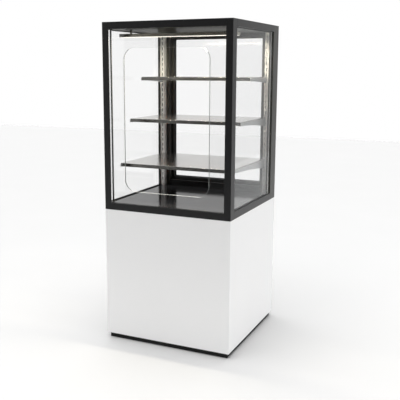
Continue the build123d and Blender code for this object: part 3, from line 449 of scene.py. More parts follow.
# %% Plastic, rubber and light finishes
PIT_LIGHTENS, PIT_DUST = 1.25, 0.004
PIT_DULLS = 0.12
COVER_DULL, COVER_BRIGHT = (0.86, 0.85, 0.80), (0.92, 0.91, 0.88)
GLOW_CELLS = 12.0
SILICONE, SILICONE_RIB = (0.42, 0.13, 0.05), (0.30, 0.08, 0.03)
SILICONE_DULL = 0.55
WEAVE_CELLS, WEAVE_DULLS, WEAVE_HEIGHT = 700.0, 0.2, 0.2
TRACK_TURN, TRACK_TOP, TRACK_HEIGHT = 420.0, 0.2, 0.5
TRACK_DEPTH = 0.0002


def moulded(name, colour, roughness, pit=1400.0, depth=0.00004):
    """Plastic or rubber with pits, given in cells to a metre and in metres of depth."""
    finish = Finish(name)
    pits = finish.grain(EVEN, pit)
    lighter = tuple(min(1.0, channel * PIT_LIGHTENS + PIT_DUST) for channel in colour)
    finish.vary("Base Color", finish.blend(pits, colour, lighter))
    finish.vary("Roughness", roughness + PIT_DULLS * (pits - NOISE_MEAN))
    finish.relief(pits, depth)
    return finish.material


def glowing(name, colour, edge_colour, strength):
    """A pale cover whose glow drifts between two colours."""
    finish = Finish(name, Roughness=0.5, Emission_Strength=strength)
    cloud = finish.grain(EVEN, GLOW_CELLS)
    finish.vary("Emission Color", finish.blend(cloud, edge_colour, colour))
    finish.vary("Base Color", finish.blend(cloud, COVER_DULL, COVER_BRIGHT))
    return finish.material


def heater_foil():
    """Orange silicone with the heating track showing as low parallel ribs."""
    finish = Finish("heater silicone")
    across = finish.node("ShaderNodeSeparateXYZ", {}, {0: finish.place()}, out="Y")
    track = finish.node("ShaderNodeMath", {"operation": "SINE"}, {0: across * TRACK_TURN})
    weave = finish.grain(EVEN, WEAVE_CELLS)
    finish.vary("Base Color", finish.blend(track > TRACK_TOP, SILICONE, SILICONE_RIB))
    finish.vary("Roughness", SILICONE_DULL + WEAVE_DULLS * (weave - NOISE_MEAN))
    finish.relief(track * TRACK_HEIGHT + weave * WEAVE_HEIGHT, TRACK_DEPTH)
    return finish.material


finishes["black_plastic"] = moulded("textured black plastic", (0.012, 0.012, 0.012), 0.45)
finishes["grey_key"] = moulded("grey keycap", (0.30, 0.30, 0.31), 0.5)
finishes["black_rubber"] = moulded("black rubber", (0.016, 0.016, 0.016), 0.7, 500.0)
finishes["red_rocker"] = moulded("red rocker", (0.50, 0.02, 0.012), 0.22, 300.0, 0.00001)
finishes["display_lens"] = moulded("smoked lens", (0.035, 0.004, 0.004), 0.08, 200.0, 0.000005)
finishes["heater_silicone"] = heater_foil()
finishes["led_board"] = glowing("light strip", (1.0, 0.93, 0.80), (1.0, 0.90, 0.74), 2.0)
finishes["milky_diffuser"] = glowing("milky cover", (1.0, 0.95, 0.86), (1.0, 0.93, 0.80), 0.65)
digit_finish = glowing("red digit", (1.0, 0.05, 0.02), (0.9, 0.03, 0.01), 1.3)
mark_finish = moulded("white print", (0.80, 0.80, 0.78), 0.5)

missing = sorted(set(slot_of.values()) - set(finishes))
print(len(finishes), "finishes, slots without one:", missing)

for name, solid in nodes.items():
    for slot in solid.material_slots:
        slot.material = finishes[slot_of[name]]

# %% [markdown]
# ## Rounding the edges of a solid
#
# No real edge is a line: sheet is folded over a radius, aluminium is deburred, glass
# is ground. A rounded edge draws the thin highlight that makes a box look made. The
# solids arrive as loose triangles, so a copy is merged and its flat stretches are
# joined into faces before the edges are bevelled. The copy then stands for the solid.

# %% Eased copies
SHARP = math.radians(35)
FLAT = math.radians(1)
CREASE = math.radians(50)
WELD = 0.004 * MM


def merged(name):
    """A solid's mesh as one closed surface with flat faces joined."""
    work = bmesh.new()
    work.from_mesh(nodes[name].data)
    bmesh.ops.remove_doubles(work, verts=work.verts, dist=WELD)
    bmesh.ops.dissolve_limit(work, angle_limit=FLAT, verts=work.verts, edges=work.edges)
    return work


def finished(name, work, materials, body, replaced=()):
    """Turns a bmesh into a piece of the model that rides on a body."""
    mesh = bpy.data.meshes.new(name)
    work.to_mesh(mesh)
    work.free()
    for material in materials:
        mesh.materials.append(material)
    mesh.shade_smooth()
    mesh.set_sharp_from_angle(angle=CREASE)
    piece = bpy.data.objects.new(name, mesh)
    bpy.context.scene.collection.objects.link(piece)
    normals = piece.modifiers.new("even flats", "WEIGHTED_NORMAL")
    normals.keep_sharp = True
    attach(piece, body)
    if replaced:
        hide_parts(*replaced)
    return piece


def middle(edge):
    """The point halfway along an edge."""
    return (edge.verts[0].co + edge.verts[1].co) / 2


def eased(name, width, finish=None, where=None, segments=2, second=None, on=None):
    """A copy of a solid with its sharp edges rounded.

    A test of an edge's middle can leave some edges as they are, and a test of a face
    can give it the second finish.
    """
    work = merged(name)
    corners = [edge for edge in work.edges
               if len(edge.link_faces) == 2 and edge.calc_face_angle(0) > SHARP]
    if where:
        corners = [edge for edge in corners if where(middle(edge))]
    bmesh.ops.bevel(work, geom=corners, offset=width, segments=segments, profile=0.5,
                    affect="EDGES", clamp_overlap=False)
    materials = [finish or finishes[slot_of[name]]]
    if second:
        materials.append(second)
        work.normal_update()
        for face in work.faces:
            face.material_index = int(on(face))
    return finished(name + "_eased", work, materials, body_of[name], [name])


print("edges over", round(math.degrees(SHARP)), "degrees are rounded")

# %% [markdown]
# ## Pedestal
#
# The front panel is folded from two-millimetre sheet, so only its outer edges are
# round, and the joint with the side panels stays tight. The side panels keep their
# front edge square for the same reason. The plinth is set back and matt, which is
# why the case seems to float on a black line.

# %% Pedestal panels
front_low, front_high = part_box("pedestal_front_panel")
right_low, right_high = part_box("pedestal_right_panel")
FOLD = 0.9 * MM
DEBURR = 0.4 * MM
PLINTH_ROUND = 1.0 * MM
FOOT_ROUND = 0.8 * MM
NEAR = 0.2 * MM


def on_outside(point, side):
    """Whether a point is on a side panel's outer face, behind its front edge."""
    return side * point.x > right_high.x - NEAR and point.y > right_low.y + NEAR


eased("pedestal_front_panel", FOLD, where=lambda point: point.y < front_low.y + NEAR)
eased("pedestal_right_panel", FOLD, where=lambda point: on_outside(point, 1))
eased("pedestal_left_panel", FOLD, where=lambda point: on_outside(point, -1))
eased("pedestal_rear_panel", DEBURR)
eased("service_door", DEBURR)
eased("plinth", PLINTH_ROUND)
for foot in ("foot_front_left", "foot_front_right", "foot_rear_left", "foot_rear_right"):
    eased(foot, FOOT_ROUND)
print("pedestal height", round((front_high.z - front_low.z) / MM), "mm")

# %% [markdown]
# ## Case frame and door
#
# The frame is black aluminium: extruded angles and tubes with a small radius on every
# arris. The rails of the two rings share planes with the posts, so a radius of less
# than a millimetre keeps the joints closed while it still catches the light.

# %% Frame, roof and door leaf
ARRIS = 0.7 * MM
RING_ARRIS = 0.5 * MM
for post in ("front_left_post", "front_right_post"):
    eased(post, ARRIS)
# The rear posts and the door frame take the lighter black, painted light.
for post in ("rear_left_post", "rear_right_post", "door_frame"):
    eased(post, ARRIS, finish=finishes["rear_black"])
for ring in ("top_frame", "bottom_frame", "roof_panel"):
    eased(ring, RING_ARRIS)
for cup in ("door_pull", "service_door_pull"):
    eased(cup, ARRIS)
ring_low, ring_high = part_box("top_frame")
print("case", round((ring_high.x - ring_low.x) / MM), "mm wide")

# %% [markdown]
# ## Panes
#
# Each pane has a ground arris and a polished edge all round, also round the big
# cut-out that customers reach through. Seen at an angle that edge is the only part of
# the glass that has a colour of its own, and it draws the rounded window.

# %% Panes and deck
GRIND = 1.2 * MM
DECK_ROUND = 0.8 * MM
FLAT_ON = 0.9
ALONG_X, ALONG_Y = Vector((1, 0, 0)), Vector((0, 1, 0))
panes = {"front_glass": ALONG_Y, "door_glass": ALONG_Y,
         "left_glass": ALONG_X, "right_glass": ALONG_X}
for pane, across in panes.items():
    # The panes' edges get the painted glow.
    eased(pane, GRIND, second=edge_painted_glow,
          on=lambda face: abs(face.normal.dot(across)) < FLAT_ON)
eased("deck_glass", DECK_ROUND)
print(len(panes), "panes with polished edges")

# %% [markdown]
# ## Shelves, brackets and uprights
#
# The shelves are folded pans with a soft front bend. What faces forward on them, the
# lip and its bend, gets a darker copy of the steel, which paints the shade of the dim
# front it mirrors, so it reads as a dark line under a bright shelf. Brackets are
# laser-cut plate with a light deburr. The uprights are slotted channels, brushed along
# their height.

# %% Steel inside the case
SHELF_BEND = 0.6 * MM
SHEET_FOLD = 0.5 * MM
FACES_FORWARD = -0.3
for level in ("top", "middle", "lower"):
    # Faces that point forward get the darker lip steel, a painted shade.
    eased(level + "_shelf", SHELF_BEND, segments=3, second=lip_painted_shade,
          on=lambda face: face.normal.y < FACES_FORWARD)
    eased(level + "_shelf_brackets", DEBURR, finish=bracket_finish)
for side in ("left", "right"):
    # The uprights get the lighter steel, painted light.
    eased(side + "_upright", DEBURR, finish=upright_painted_light)
# The bar body gets the darker, warm steel, a painted reflection.
eased("light_bar_body", SHEET_FOLD, finish=bar_painted_reflection)
# The ceiling gets the darkened steel, a painted shade.
eased("ceiling_panel", SHEET_FOLD, finish=ceiling_painted_shade)
eased("light_bar_diffuser", SHELF_BEND)
shelf_low, shelf_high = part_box("lower_shelf")
print("shelves", round((shelf_high.x - shelf_low.x) / MM), "mm wide")

# %% [markdown]
# ## Controls
#
# On the operator's side a shallow tray holds the thermostat, two rocker switches and
# the power inlet. Every moulding gets a radius in proportion to its size. The relay
# and the lighting driver, which are small boxes inside the pedestal, share the loop.

# %% Mouldings of the controls
moulding_rounds = {"control_panel": 0.5, "controller_body": 0.6, "switch_housings": 0.5,
                   "power_inlet": 0.5, "power_rocker": 0.4, "light_rocker": 0.4,
                   "relay": 0.3, "led_driver": 0.8}
for name, millimetres in moulding_rounds.items():
    eased(name, millimetres * MM)
print(len(moulding_rounds), "mouldings and boxes rounded")

# %% [markdown]
# ## A rule that repeats a small piece
#
# Screws, louvres and light chips are one shape set down many times, and a bead is one
# section along a path. Geometry Nodes do both with trees that have named inputs. A
# rule makes real geometry of its copies and hands them their finish. The result is
# read back as a plain mesh, so nothing live is left on the piece.


# %% Geometry Nodes rules
class Rule(Tree):
    """A Geometry Nodes tree with named inputs."""

    def __init__(self, name, inputs):
        super().__init__(bpy.data.node_groups.new(name, "GeometryNodeTree"))
        face = self.tree.interface
        face.new_socket("Geometry", in_out="INPUT", socket_type="NodeSocketGeometry")
        self.keys = {}
        for label, kind in inputs.items():
            socket = face.new_socket(label, in_out="INPUT", socket_type="NodeSocket" + kind)
            self.keys[label] = socket.identifier
        face.new_socket("Geometry", in_out="OUTPUT", socket_type="NodeSocketGeometry")
        self.group = self.tree.nodes.new("NodeGroupInput")

    def given(self, label):
        """One of the rule's named inputs."""
        return Wire(self, self.group.outputs[label])

    def close(self, geometry):
        """Ends the tree: real geometry with the finish on it."""
        real = self.node("GeometryNodeRealizeInstances", {}, {"Geometry": geometry})
        dressed = self.node("GeometryNodeSetMaterial", {},
                            {"Geometry": real, "Material": self.given("Finish")})
        self.node("NodeGroupOutput", {}, {0: dressed})

    def mesh(self, name, points, values, edges=()):
        """Runs the rule on points, which edges may join, and returns the mesh it makes."""
        base = bpy.data.meshes.new(name)
        base.from_pydata([tuple(point) for point in points], list(edges), [])
        carrier = bpy.data.objects.new(name, base)
        bpy.context.scene.collection.objects.link(carrier)
        modifier = carrier.modifiers.new(name, "NODES")
        modifier.node_group = self.tree
        for label, value in values.items():
            modifier[self.keys[label]] = value
        ready = carrier.evaluated_get(bpy.context.evaluated_depsgraph_get())
        made = bpy.data.meshes.new_from_object(ready)
        bpy.data.objects.remove(carrier)
        return made


print("a rule knows:", skills(Rule))

# %% [markdown]
# ## The two rules
#
# The first puts a piece on every point it is given and turns it. The second reads the
# points as a loop, because edges join them, and sweeps a small circle along it.

# %% Copies and beads
BEAD_SIDES = 12
copies = Rule("copies on points", {"Piece": "Object", "Turn": "Vector", "Finish": "Material"})
piece_shape = copies.node("GeometryNodeObjectInfo", {}, {"Object": copies.given("Piece")},
                          out="Geometry")
copies.close(copies.node("GeometryNodeInstanceOnPoints", {},
                         {"Points": copies.given("Geometry"), "Instance": piece_shape,
                          "Rotation": copies.given("Turn")}))

bead = Rule("bead along a loop", {"Radius": "Float", "Finish": "Material"})
path = bead.node("GeometryNodeMeshToCurve", {}, {"Mesh": bead.given("Geometry")})
section = bead.node("GeometryNodeCurvePrimitiveCircle", {},
                    {"Resolution": BEAD_SIDES, "Radius": bead.given("Radius")})
bead.close(bead.node("GeometryNodeCurveToMesh", {}, {"Curve": path, "Profile Curve": section}))
print("rules:", copies.tree.name + ",", bead.tree.name)

# %% [markdown]
# ## Templates
#
# What a rule sets down is a template: an object that is made once and never linked to
# the scene, so it shows only through its copies. Most templates are turned on a lathe,
# which joins rings of points. A ring's radius may also depend on the angle, and so one
# function cuts both the round head of a screw and the hexagon in it.


# %% Templates and the lathe
def template(name, build):
    """A small piece made once, which only the rules use."""
    work = bmesh.new()
    build(work)
    mesh = bpy.data.meshes.new(name)
    work.to_mesh(mesh)
    work.free()
    return bpy.data.objects.new(name, mesh)


def joined_meshes(meshes):
    """Several meshes in one bmesh."""
    work = bmesh.new()
    for mesh in meshes:
        work.from_mesh(mesh)
    return work


def turned(angle, reach):
    """The flat point at a reach from the middle."""
    return reach * math.cos(angle), reach * math.sin(angle)


def lathe(work, rings, segments):
    """Joins rings of (radius, or radius at an angle, and height) into a closed shape."""
    loops = []
    for radius, height in rings:
        loop = []
        for index in range(segments):
            angle = math.tau * index / segments
            reach = radius(angle) if callable(radius) else radius
            loop.append(work.verts.new((*turned(angle, reach), height)))
        loops.append(loop)
    for low, high in zip(loops, loops[1:]):
        for index in range(segments):
            following = (index + 1) % segments
            work.faces.new((low[index], low[following], high[following], high[index]))
    work.faces.new(list(reversed(loops[0])))
    work.faces.new(loops[-1])
    bmesh.ops.recalc_face_normals(work, faces=work.faces)


# %% [markdown]
# ## Screws
#
# The roof is held by nine flat screws that lie flush in their bores, and the rear
# panel by six low heads. A hexagon socket and a small chamfer are what make a disc
# look like a screw, so the template has both, with few faces because it is repeated.

# %% Screws
HEAD_RADIUS = 4.0 * MM
HEAD_HEIGHT = 1.8 * MM
HEAD_CHAMFER = 0.35 * MM
SOCKET_HALF = 1.25 * MM
SOCKET_DEPTH = 1.1 * MM
HEAD_SEGMENTS = 24
ROOF_EDGE = 16 * MM
ROOF_END = 80 * MM
REAR_EDGE = 11 * MM
REAR_END = 52 * MM
SUNK = 0.1 * MM
NO_TURN, FACING_BACK = (0, 0, 0), (-math.pi / 2, 0, 0)


def hexagon(angle):
    """How far the socket's hexagon reaches from its middle at an angle."""
    sixth = math.tau / 6
    return SOCKET_HALF / math.cos((angle + sixth / 2) % sixth - sixth / 2)


def screw_head(work):
    """A chamfered head with a hexagon socket, standing on its seat."""
    lathe(work, [(HEAD_RADIUS, 0.0), (HEAD_RADIUS, HEAD_HEIGHT - HEAD_CHAMFER),
                 (HEAD_RADIUS - HEAD_CHAMFER, HEAD_HEIGHT), (hexagon, HEAD_HEIGHT),
                 (hexagon, HEAD_HEIGHT - SOCKET_DEPTH)], HEAD_SEGMENTS)


screw = template("screw head", screw_head)
screw_steel = finishes["screw_steel"]
roof_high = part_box("roof_panel")[1]
side_x = roof_high.x - ROOF_EDGE
end_y = roof_high.y - ROOF_END
roof_z = roof_high.z - HEAD_HEIGHT - SUNK
roof_places = [(side * side_x, y, roof_z) for side in (-1, 1) for y in (-end_y, 0, end_y)]
roof_places += [(x, -side_x, roof_z) for x in (-end_y / 2, 0, end_y / 2)]
panel_low, panel_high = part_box("pedestal_rear_panel")
rear_x = panel_high.x - REAR_EDGE
rear_heights = (panel_low.z + REAR_END, (panel_low.z + panel_high.z) / 2,
                panel_high.z - REAR_END)
rear_places = [(side * rear_x, panel_high.y, z) for side in (-1, 1) for z in rear_heights]
roof_heads = copies.mesh("roof screws", roof_places,
                         {"Piece": screw, "Turn": NO_TURN, "Finish": screw_steel})
rear_heads = copies.mesh("rear screws", rear_places,
                         {"Piece": screw, "Turn": FACING_BACK, "Finish": screw_steel})
finished("screw_heads", joined_meshes([roof_heads, rear_heads]), [screw_steel], "cabinet",
         ["screws"])
print(len(roof_places) + len(rear_places), "screws")

# %% [markdown]
# ## Louvres
#
# The service door breathes through nine slots. On a pressed sheet each slot has an
# eyebrow above it that keeps drips out. Its section is a quarter of an ellipse, and
# its ends run back into the sheet, so it is built as a small grid of points.

# %% Louvre eyebrows
LOUVRE_COUNT = 9
LOUVRE_PITCH = 15 * MM
LOUVRE_TOP = 60 * MM
LOUVRE_HALF = 132 * MM
LOUVRE_RISE = 8 * MM
LOUVRE_DIP = 0.4
LOUVRE_PROUD = 1.5 * MM
LOUVRE_SKIN = 0.5 * MM
LOUVRE_END = 0.08
LOUVRE_END_RISE = 0.3
LOUVRE_COLUMNS, LOUVRE_ROWS = 28, 6
LOUVRE_WELD = 0.01 * MM


def eyebrow(work):
    """One pressed eyebrow, centred on its slot, standing out along +Y."""
    grid = []
    for column in range(LOUVRE_COLUMNS + 1):
        along = 2 * column / LOUVRE_COLUMNS - 1
        past = max(0.0, (abs(along) - 1 + LOUVRE_END) / LOUVRE_END)
        reach = math.sqrt(max(0.0, 1 - past * past))
        rise = LOUVRE_RISE * (LOUVRE_END_RISE + (1 - LOUVRE_END_RISE) * reach)
        line = []
        for row in range(LOUVRE_ROWS + 1):
            turn = row / LOUVRE_ROWS * math.pi / 2
            y = LOUVRE_PROUD * reach * math.sin(turn)
            z = rise * (math.cos(turn) - LOUVRE_DIP)
            line.append(work.verts.new((along * LOUVRE_HALF, y, z)))
        grid.append(line)
    for left, right in zip(grid, grid[1:]):
        for row in range(LOUVRE_ROWS):
            work.faces.new((left[row], right[row], right[row + 1], left[row + 1]))
    bmesh.ops.remove_doubles(work, verts=work.verts, dist=LOUVRE_WELD)
    bmesh.ops.recalc_face_normals(work, faces=work.faces)
    bmesh.ops.solidify(work, geom=work.faces[:], thickness=LOUVRE_SKIN)


brow = template("louvre eyebrow", eyebrow)
door_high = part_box("service_door")[1]
brow_y = door_high.y - SUNK
first_z = door_high.z - LOUVRE_TOP
louvre_places = [(0, brow_y, first_z - index * LOUVRE_PITCH) for index in range(LOUVRE_COUNT)]
brows = copies.mesh("louvres", louvre_places,
                    {"Piece": brow, "Turn": NO_TURN, "Finish": finishes["white_paint"]})
finished("louvre_eyebrows", joined_meshes([brows]), [finishes["white_paint"]], "service_door")
print(len(louvre_places), "louvres, the top one at", round(first_z / MM), "mm")

# %% [markdown]
# ## Glazing beads
#
# A rubber bead runs round the door's pane, one on each face, and shows as a fine
# line inside the black leaf. It follows a path, so the second rule sweeps a small
# circle along a closed loop of points with rounded corners.

# %% Beads round the door's pane
BEAD_RADIUS = 2.2 * MM
BEAD_INSET = BEAD_RADIUS * 0.7
BEAD_PROUD = BEAD_RADIUS * 0.8
LOOP_RADIUS = 6 * MM
LOOP_STEPS = 6
GLASS_BITE = 7.7 * MM


def rounded_loop(half_x, low_z, high_z, y, radius):
    """Points of an upright rounded rectangle, and the edges that close it."""
    points = []
    corners = ((half_x - radius, high_z - radius), (-half_x + radius, high_z - radius),
               (-half_x + radius, low_z + radius), (half_x - radius, low_z + radius))
    for quarter, (x, z) in enumerate(corners):
        for step in range(LOOP_STEPS + 1):
            angle = (quarter + step / LOOP_STEPS) * math.pi / 2
            across, up = turned(angle, radius)
            points.append((x + across, y, z + up))
    edges = [(index, (index + 1) % len(points)) for index in range(len(points))]
    return points, edges


rubber = finishes["black_rubber"]
glass_low, glass_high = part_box("door_glass")
bead_x = glass_high.x - GLASS_BITE - BEAD_INSET
bead_low = glass_low.z + GLASS_BITE + BEAD_INSET
bead_high = glass_high.z - GLASS_BITE - BEAD_INSET
beads = []
for y in (glass_low.y - BEAD_PROUD, glass_high.y + BEAD_PROUD):
    points, edges = rounded_loop(bead_x, bead_low, bead_high, y, LOOP_RADIUS)
    beads.append(bead.mesh("bead", points, {"Radius": BEAD_RADIUS, "Finish": rubber}, edges))
finished("door_glazing_beads", joined_meshes(beads), [rubber], "rear_door")
print(len(beads), "beads round", round(2 * bead_x / MM), "mm of clear glass")

# %% [markdown]
# ## Display
#
# The thermostat shows two seven-segment digits. Each segment is a bar with pointed
# ends, cut from the same outline, and lit in red. It is a thin plate, made flat at the
# origin and then moved by a matrix, so that one outline serves all seven places.

# %% Digits
PRINT = 0.12 * MM


def plate(work, outline, matrix):
    """Adds a thin plate with a flat outline of (x, z) points, facing +Y before the matrix."""
    front = [work.verts.new(matrix @ Vector((x, PRINT, z))) for x, z in outline]
    back = [work.verts.new(matrix @ Vector((x, 0, z))) for x, z in outline]
    work.faces.new(front)
    work.faces.new(list(reversed(back)))
    for index in range(len(outline)):
        following = (index + 1) % len(outline)
        work.faces.new((front[index], back[index], back[following], front[following]))
    bmesh.ops.recalc_face_normals(work, faces=work.faces)


SEGMENT_LONG = 3.0 * MM
SEGMENT_WIDE = 1.1 * MM
SEGMENT_GAP = 0.2 * MM
DIGIT_PITCH = 10.0 * MM
SHOWN = "65"
LIT = {"6": "afgedc", "5": "afgcd"}
SEGMENTS = {"a": (0, 2, 0), "g": (0, 0, 0), "d": (0, -2, 0), "f": (1, 1, 1), "b": (-1, 1, 1),
            "e": (1, -1, 1), "c": (-1, -1, 1)}
window_low, window_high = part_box("controller_window")
window_middle = (window_low + window_high) / 2
bar_half, bar_wide = SEGMENT_LONG - SEGMENT_GAP, SEGMENT_WIDE / 2
bar = [(-bar_half, 0), (-bar_half + bar_wide, bar_wide), (bar_half - bar_wide, bar_wide),
       (bar_half, 0), (bar_half - bar_wide, -bar_wide), (-bar_half + bar_wide, -bar_wide)]
digits = bmesh.new()
for place, digit in enumerate(SHOWN):
    digit_x = window_middle.x + DIGIT_PITCH * (0.5 - place)
    centre = Vector((digit_x, window_high.y, window_middle.z))
    for letter in LIT[digit]:
        across, up, upright = SEGMENTS[letter]
        shift = Vector((across * SEGMENT_LONG, 0, up * SEGMENT_LONG))
        turn = Matrix.Rotation(math.pi / 2 * upright, 4, "Y")
        plate(digits, bar, Matrix.Translation(centre + shift) @ turn)
finished("display_digits", digits, [digit_finish], "cabinet")
print(sum(len(LIT[digit]) for digit in SHOWN), "lit segments")

# %% [markdown]
# ## Key symbols
#
# The keys carry an up and a down triangle and a dot, printed a tenth of a millimetre
# thick. A picture on the key would need its own coordinates, while a thin plate needs
# only a place. Each plate rides on its key, so it goes in when the key is pressed.

# %% Key symbols
ROUND_SIDES = 16
KEY_HALF = 1.8 * MM
KEY_FOOT = KEY_HALF * 0.6
KEY_SINK = 0.02 * MM
triangle = [(-KEY_HALF, -KEY_FOOT), (KEY_HALF, -KEY_FOOT), (0, KEY_HALF)]
symbols = {
    "up": triangle,
    "down": [(x, -z) for x, z in triangle],
    "set": [turned(math.tau * step / ROUND_SIDES, KEY_FOOT) for step in range(ROUND_SIDES)],
}
for key_name, outline in symbols.items():
    low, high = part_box("button_" + key_name)
    centre = Vector(((low.x + high.x) / 2, high.y - KEY_SINK, (low.z + high.z) / 2))
    mark = bmesh.new()
    plate(mark, outline, Matrix.Translation(centre))
    finished("key_symbol_" + key_name, mark, [mark_finish], "button_" + key_name)
print(len(symbols), "key symbols")

# %% [markdown]
# ## Rocker marks
#
# The rockers carry the usual line on their upper half and a ring on the lower one. A
# rocker is tipped to one side at rest, and its face is a shallow V. A mark's matrix
# therefore starts at the pivot, tips with the rocker, goes out to the middle of its
# half and lies down on the slope.

# %% Rocker marks
ROCKER_TILT = math.radians(8)
ROCKER_HALF = 12 * MM
ROCKER_DIP = 1.8 * MM
ROCKER_SLOPE = math.atan2(ROCKER_DIP, ROCKER_HALF)
ROCKER_FACE = 5.08 * MM
MARK_HALF = 2.4 * MM
MARK_LINE = 0.35 * MM
RING_INSIDE = MARK_HALF - 2 * MARK_LINE
mark_line = [(-MARK_LINE, -MARK_HALF), (MARK_LINE, -MARK_HALF),
             (MARK_LINE, MARK_HALF), (-MARK_LINE, MARK_HALF)]


def on_half(tipped, way):
    """The matrix that lays a mark on a rocker's upper half, way 1, or lower half, way -1."""
    outward = Matrix.Translation((0, ROCKER_FACE, way * ROCKER_HALF / 2))
    return tipped @ outward @ Matrix.Rotation(-way * ROCKER_SLOPE, 4, "X")


for switch in ("power", "light"):
    body = switch + "_rocker"
    joint = next(entry for entry in frame["joints"] if entry["child"] == body)
    pivot = Vector(joint["pos_m"])
    tipped = Matrix.Translation(pivot) @ Matrix.Rotation(-ROCKER_TILT, 4, "X")
    mark = bmesh.new()
    plate(mark, mark_line, on_half(tipped, 1))
    for step in range(ROUND_SIDES):
        start, end = math.tau * step / ROUND_SIDES, math.tau * (step + 1) / ROUND_SIDES
        stretch = [turned(start, MARK_HALF), turned(end, MARK_HALF),
                   turned(end, RING_INSIDE), turned(start, RING_INSIDE)]
        plate(mark, stretch, on_half(tipped, -1))
    finished(body + "_marks", mark, [mark_finish], body)
print("rocker marks tipped by", round(math.degrees(ROCKER_TILT)), "degrees")

# %% [markdown]
# ## Light chips
#
# Behind the milky cover each of the two strips carries a row of light chips. With the
# cover on they do not show, so a chip is a plain turned shape with few faces. The rule
# that set down the screws sets these down too.

# %% Light chips
CHIP_COUNT = 24
CHIP_SIDES = 8
CHIP_HALF = 1.4 * MM
CHIP_BASE = CHIP_HALF * 1.3
CHIP_DROP = 0.7 * MM
CHIP_WALL = CHIP_DROP * 0.6
CHIP_SPAN = 0.94
CHIP_INSET = 7 * MM


def chip(work):
    """A chip that hangs down from its strip, narrower at its lower end."""
    lathe(work, [(CHIP_BASE, 0.0), (CHIP_BASE, -CHIP_WALL), (CHIP_HALF, -CHIP_DROP)], CHIP_SIDES)


chip_piece = template("light chip", chip)
strip_low, strip_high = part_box("light_bar_strips")
chip_span = (strip_high.x - strip_low.x) * CHIP_SPAN
chip_rows = (strip_low.y + CHIP_INSET, strip_high.y - CHIP_INSET)
chip_places = [(chip_span * (step / (CHIP_COUNT - 1) - 0.5), y, strip_low.z)
               for y in chip_rows for step in range(CHIP_COUNT)]
chips = copies.mesh("chips", chip_places,
                    {"Piece": chip_piece, "Turn": NO_TURN, "Finish": finishes["led_board"]})
finished("light_chips", joined_meshes([chips]), [finishes["led_board"]], "cabinet")
print(len(chip_places), "light chips")

# %% [markdown]
# ## Floor
#
# The case stands on a pale studio floor, which is stage: it shows in the picture and
# is no part of the model. It ends in front of the case and to its right, past the edge
# of the picture, because a floor there would throw light up at the black frame and at
# the shelves' front edges, and those are dark in the photograph.

# %% Floor
FLOOR_REACH = 9.0
FLOOR_FRONT = -2.2
FLOOR_RIGHT = 2.4
FLOOR_DARK, FLOOR_PALE = (0.37, 0.37, 0.37), (0.385, 0.385, 0.385)
floor_mesh = bpy.data.meshes.new("floor")
floor_mesh.from_pydata([(-FLOOR_REACH, FLOOR_FRONT, 0), (FLOOR_RIGHT, FLOOR_FRONT, 0),
                        (FLOOR_RIGHT, FLOOR_REACH, 0), (-FLOOR_REACH, FLOOR_REACH, 0)],
                       [], [(0, 1, 2, 3)])
floor_finish = Finish("pale floor", Roughness=0.4, Specular_IOR_Level=0.2)
floor_tone = floor_finish.grain(EVEN, 2.0)
floor_finish.vary("Base Color", floor_finish.blend(floor_tone, FLOOR_DARK, FLOOR_PALE))
floor_mesh.materials.append(floor_finish.material)
floor = bpy.data.objects.new("floor", floor_mesh)
bpy.context.scene.collection.objects.link(floor)
floor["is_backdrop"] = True
print("floor", FLOOR_REACH + FLOOR_RIGHT, "m wide")

# %% [markdown]
# ## Sky
#
# The photograph has a wide soft shadow. A shadow like that needs light from straight
# above, because a wall then hides half of what the floor beside it sees. So the sky is
# brightest overhead, and it leans a little to the front and the left, which puts the
# deeper shade behind the case and to its right. Behind the case it is nearly white. It
# is dim in front, which keeps the black frame dark, and dimmer to the right, where the
# right pane would mirror it. The camera itself sees plain white.

# %% Sky
SKY_FRONT, SKY_BEHIND, SKY_TOP, SKY_RIGHT = 0.08, 0.9, 6.0, 0.5
BEHIND_STARTS, BEHIND_ENDS = -0.35, 0.45
RIGHT_STARTS, RIGHT_ENDS = 0.1, 0.5
TOP_STARTS, TOP_ENDS = 0.6, 0.97
LEAN_UP, LEAN_LEFT, LEAN_FRONT = 0.98, 0.04, 0.08
WHITE_LIGHT = (1.0, 1.0, 1.0, 1.0)
world = bpy.data.worlds.new("studio")
world.use_nodes = True
world.node_tree.nodes.clear()
bpy.context.scene.world = world
sky = Tree(world.node_tree)
direction = sky.node("ShaderNodeTexCoord", out="Generated")
backward = sky.node("ShaderNodeSeparateXYZ", {}, {0: direction}, out="Y")
upward = sky.node("ShaderNodeSeparateXYZ", {}, {0: direction}, out="Z")
sideways = sky.node("ShaderNodeSeparateXYZ", {}, {0: direction}, out="X")
behind = sky.ramp(backward, BEHIND_STARTS, BEHIND_ENDS, SKY_FRONT, SKY_BEHIND)
around = behind * sky.ramp(sideways, RIGHT_STARTS, RIGHT_ENDS, 1.0, SKY_RIGHT)
overhead = LEAN_UP * upward - LEAN_LEFT * sideways - LEAN_FRONT * backward
glow = around + sky.ramp(overhead, TOP_STARTS, TOP_ENDS, 0.0, SKY_TOP)
room = sky.node("ShaderNodeBackground", {}, {"Color": WHITE_LIGHT, "Strength": glow})
white = sky.node("ShaderNodeBackground", {}, {"Color": WHITE_LIGHT})
seen = sky.node("ShaderNodeLightPath", out="Is Camera Ray")
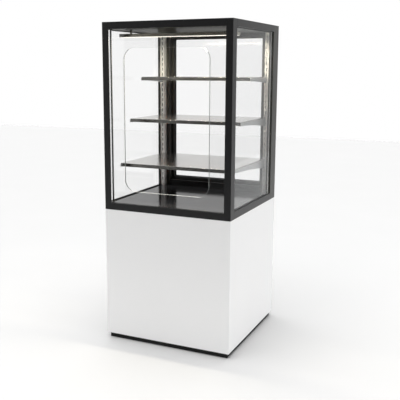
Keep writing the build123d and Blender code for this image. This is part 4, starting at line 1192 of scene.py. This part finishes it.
mixed = sky.node("ShaderNodeMixShader", {}, {0: seen, 1: room, 2: white})
sky.node("ShaderNodeOutputWorld", {}, {0: mixed})
print("sky", SKY_FRONT, "in front,", SKY_BEHIND, "behind and", SKY_TOP, "more overhead")

# %% [markdown]
# ## Lamps
#
# Two softboxes, a stronger one on the right and a weak one at the front left, put the
# soft highlights on the posts and the shelves. Area lamps are used for them, because a
# lamp with a size gives a soft edge. The glow of the light bar's cover is set by how
# bright the cover looks, which is too little light for the shelves under it. A third,
# narrow lamp just below the cover gives the rest.


# %% Lamps
def softbox(name, place, aim, size, power, colour=(1.0, 1.0, 1.0)):
    """A rectangular area lamp at a place, turned towards its aim."""
    lamp = bpy.data.lights.new(name, "AREA")
    lamp.shape = "RECTANGLE"
    lamp.size, lamp.size_y = size
    lamp.energy = power
    lamp.color = colour
    box = bpy.data.objects.new(name, lamp)
    box.location = place
    box.rotation_euler = (Vector(aim) - Vector(place)).to_track_quat("-Z", "Y").to_euler()
    bpy.context.scene.collection.objects.link(box)


softbox("right softbox", place=(4.0, 0.4, 1.0), aim=(0, 0, 0.7), size=(2.4, 2.0), power=34.0)
softbox("left softbox", place=(-3.5, -3.7, 1.0), aim=(0, 0, 0.9), size=(2.4, 2.4), power=12.0)
BAR_WARM = (1.0, 0.92, 0.76)
BAR_CLEAR = 1 * MM
bar_low, bar_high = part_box("light_bar_diffuser")
bar_y = (bar_low.y + bar_high.y) / 2
softbox("bar glow", place=(0, bar_y, bar_low.z - BAR_CLEAR), aim=(0, bar_y, 0),
        size=(0.5, 0.02), power=8.0, colour=BAR_WARM)
print("the bar's lamp hangs at", round((bar_low.z - BAR_CLEAR) / MM), "mm")

# %% [markdown]
# ## Sizes and finish
#
# The box round the solids and the box round the dressed model are kept side by side
# in one list, and the dressed height is printed.

# %% Sizes and finish
boxes = [[list(corner) for corner in pair] for pair in (solid_bounds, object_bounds())]
print("dressed height", round((boxes[1][1][2] - boxes[1][0][2]) / MM), "mm")
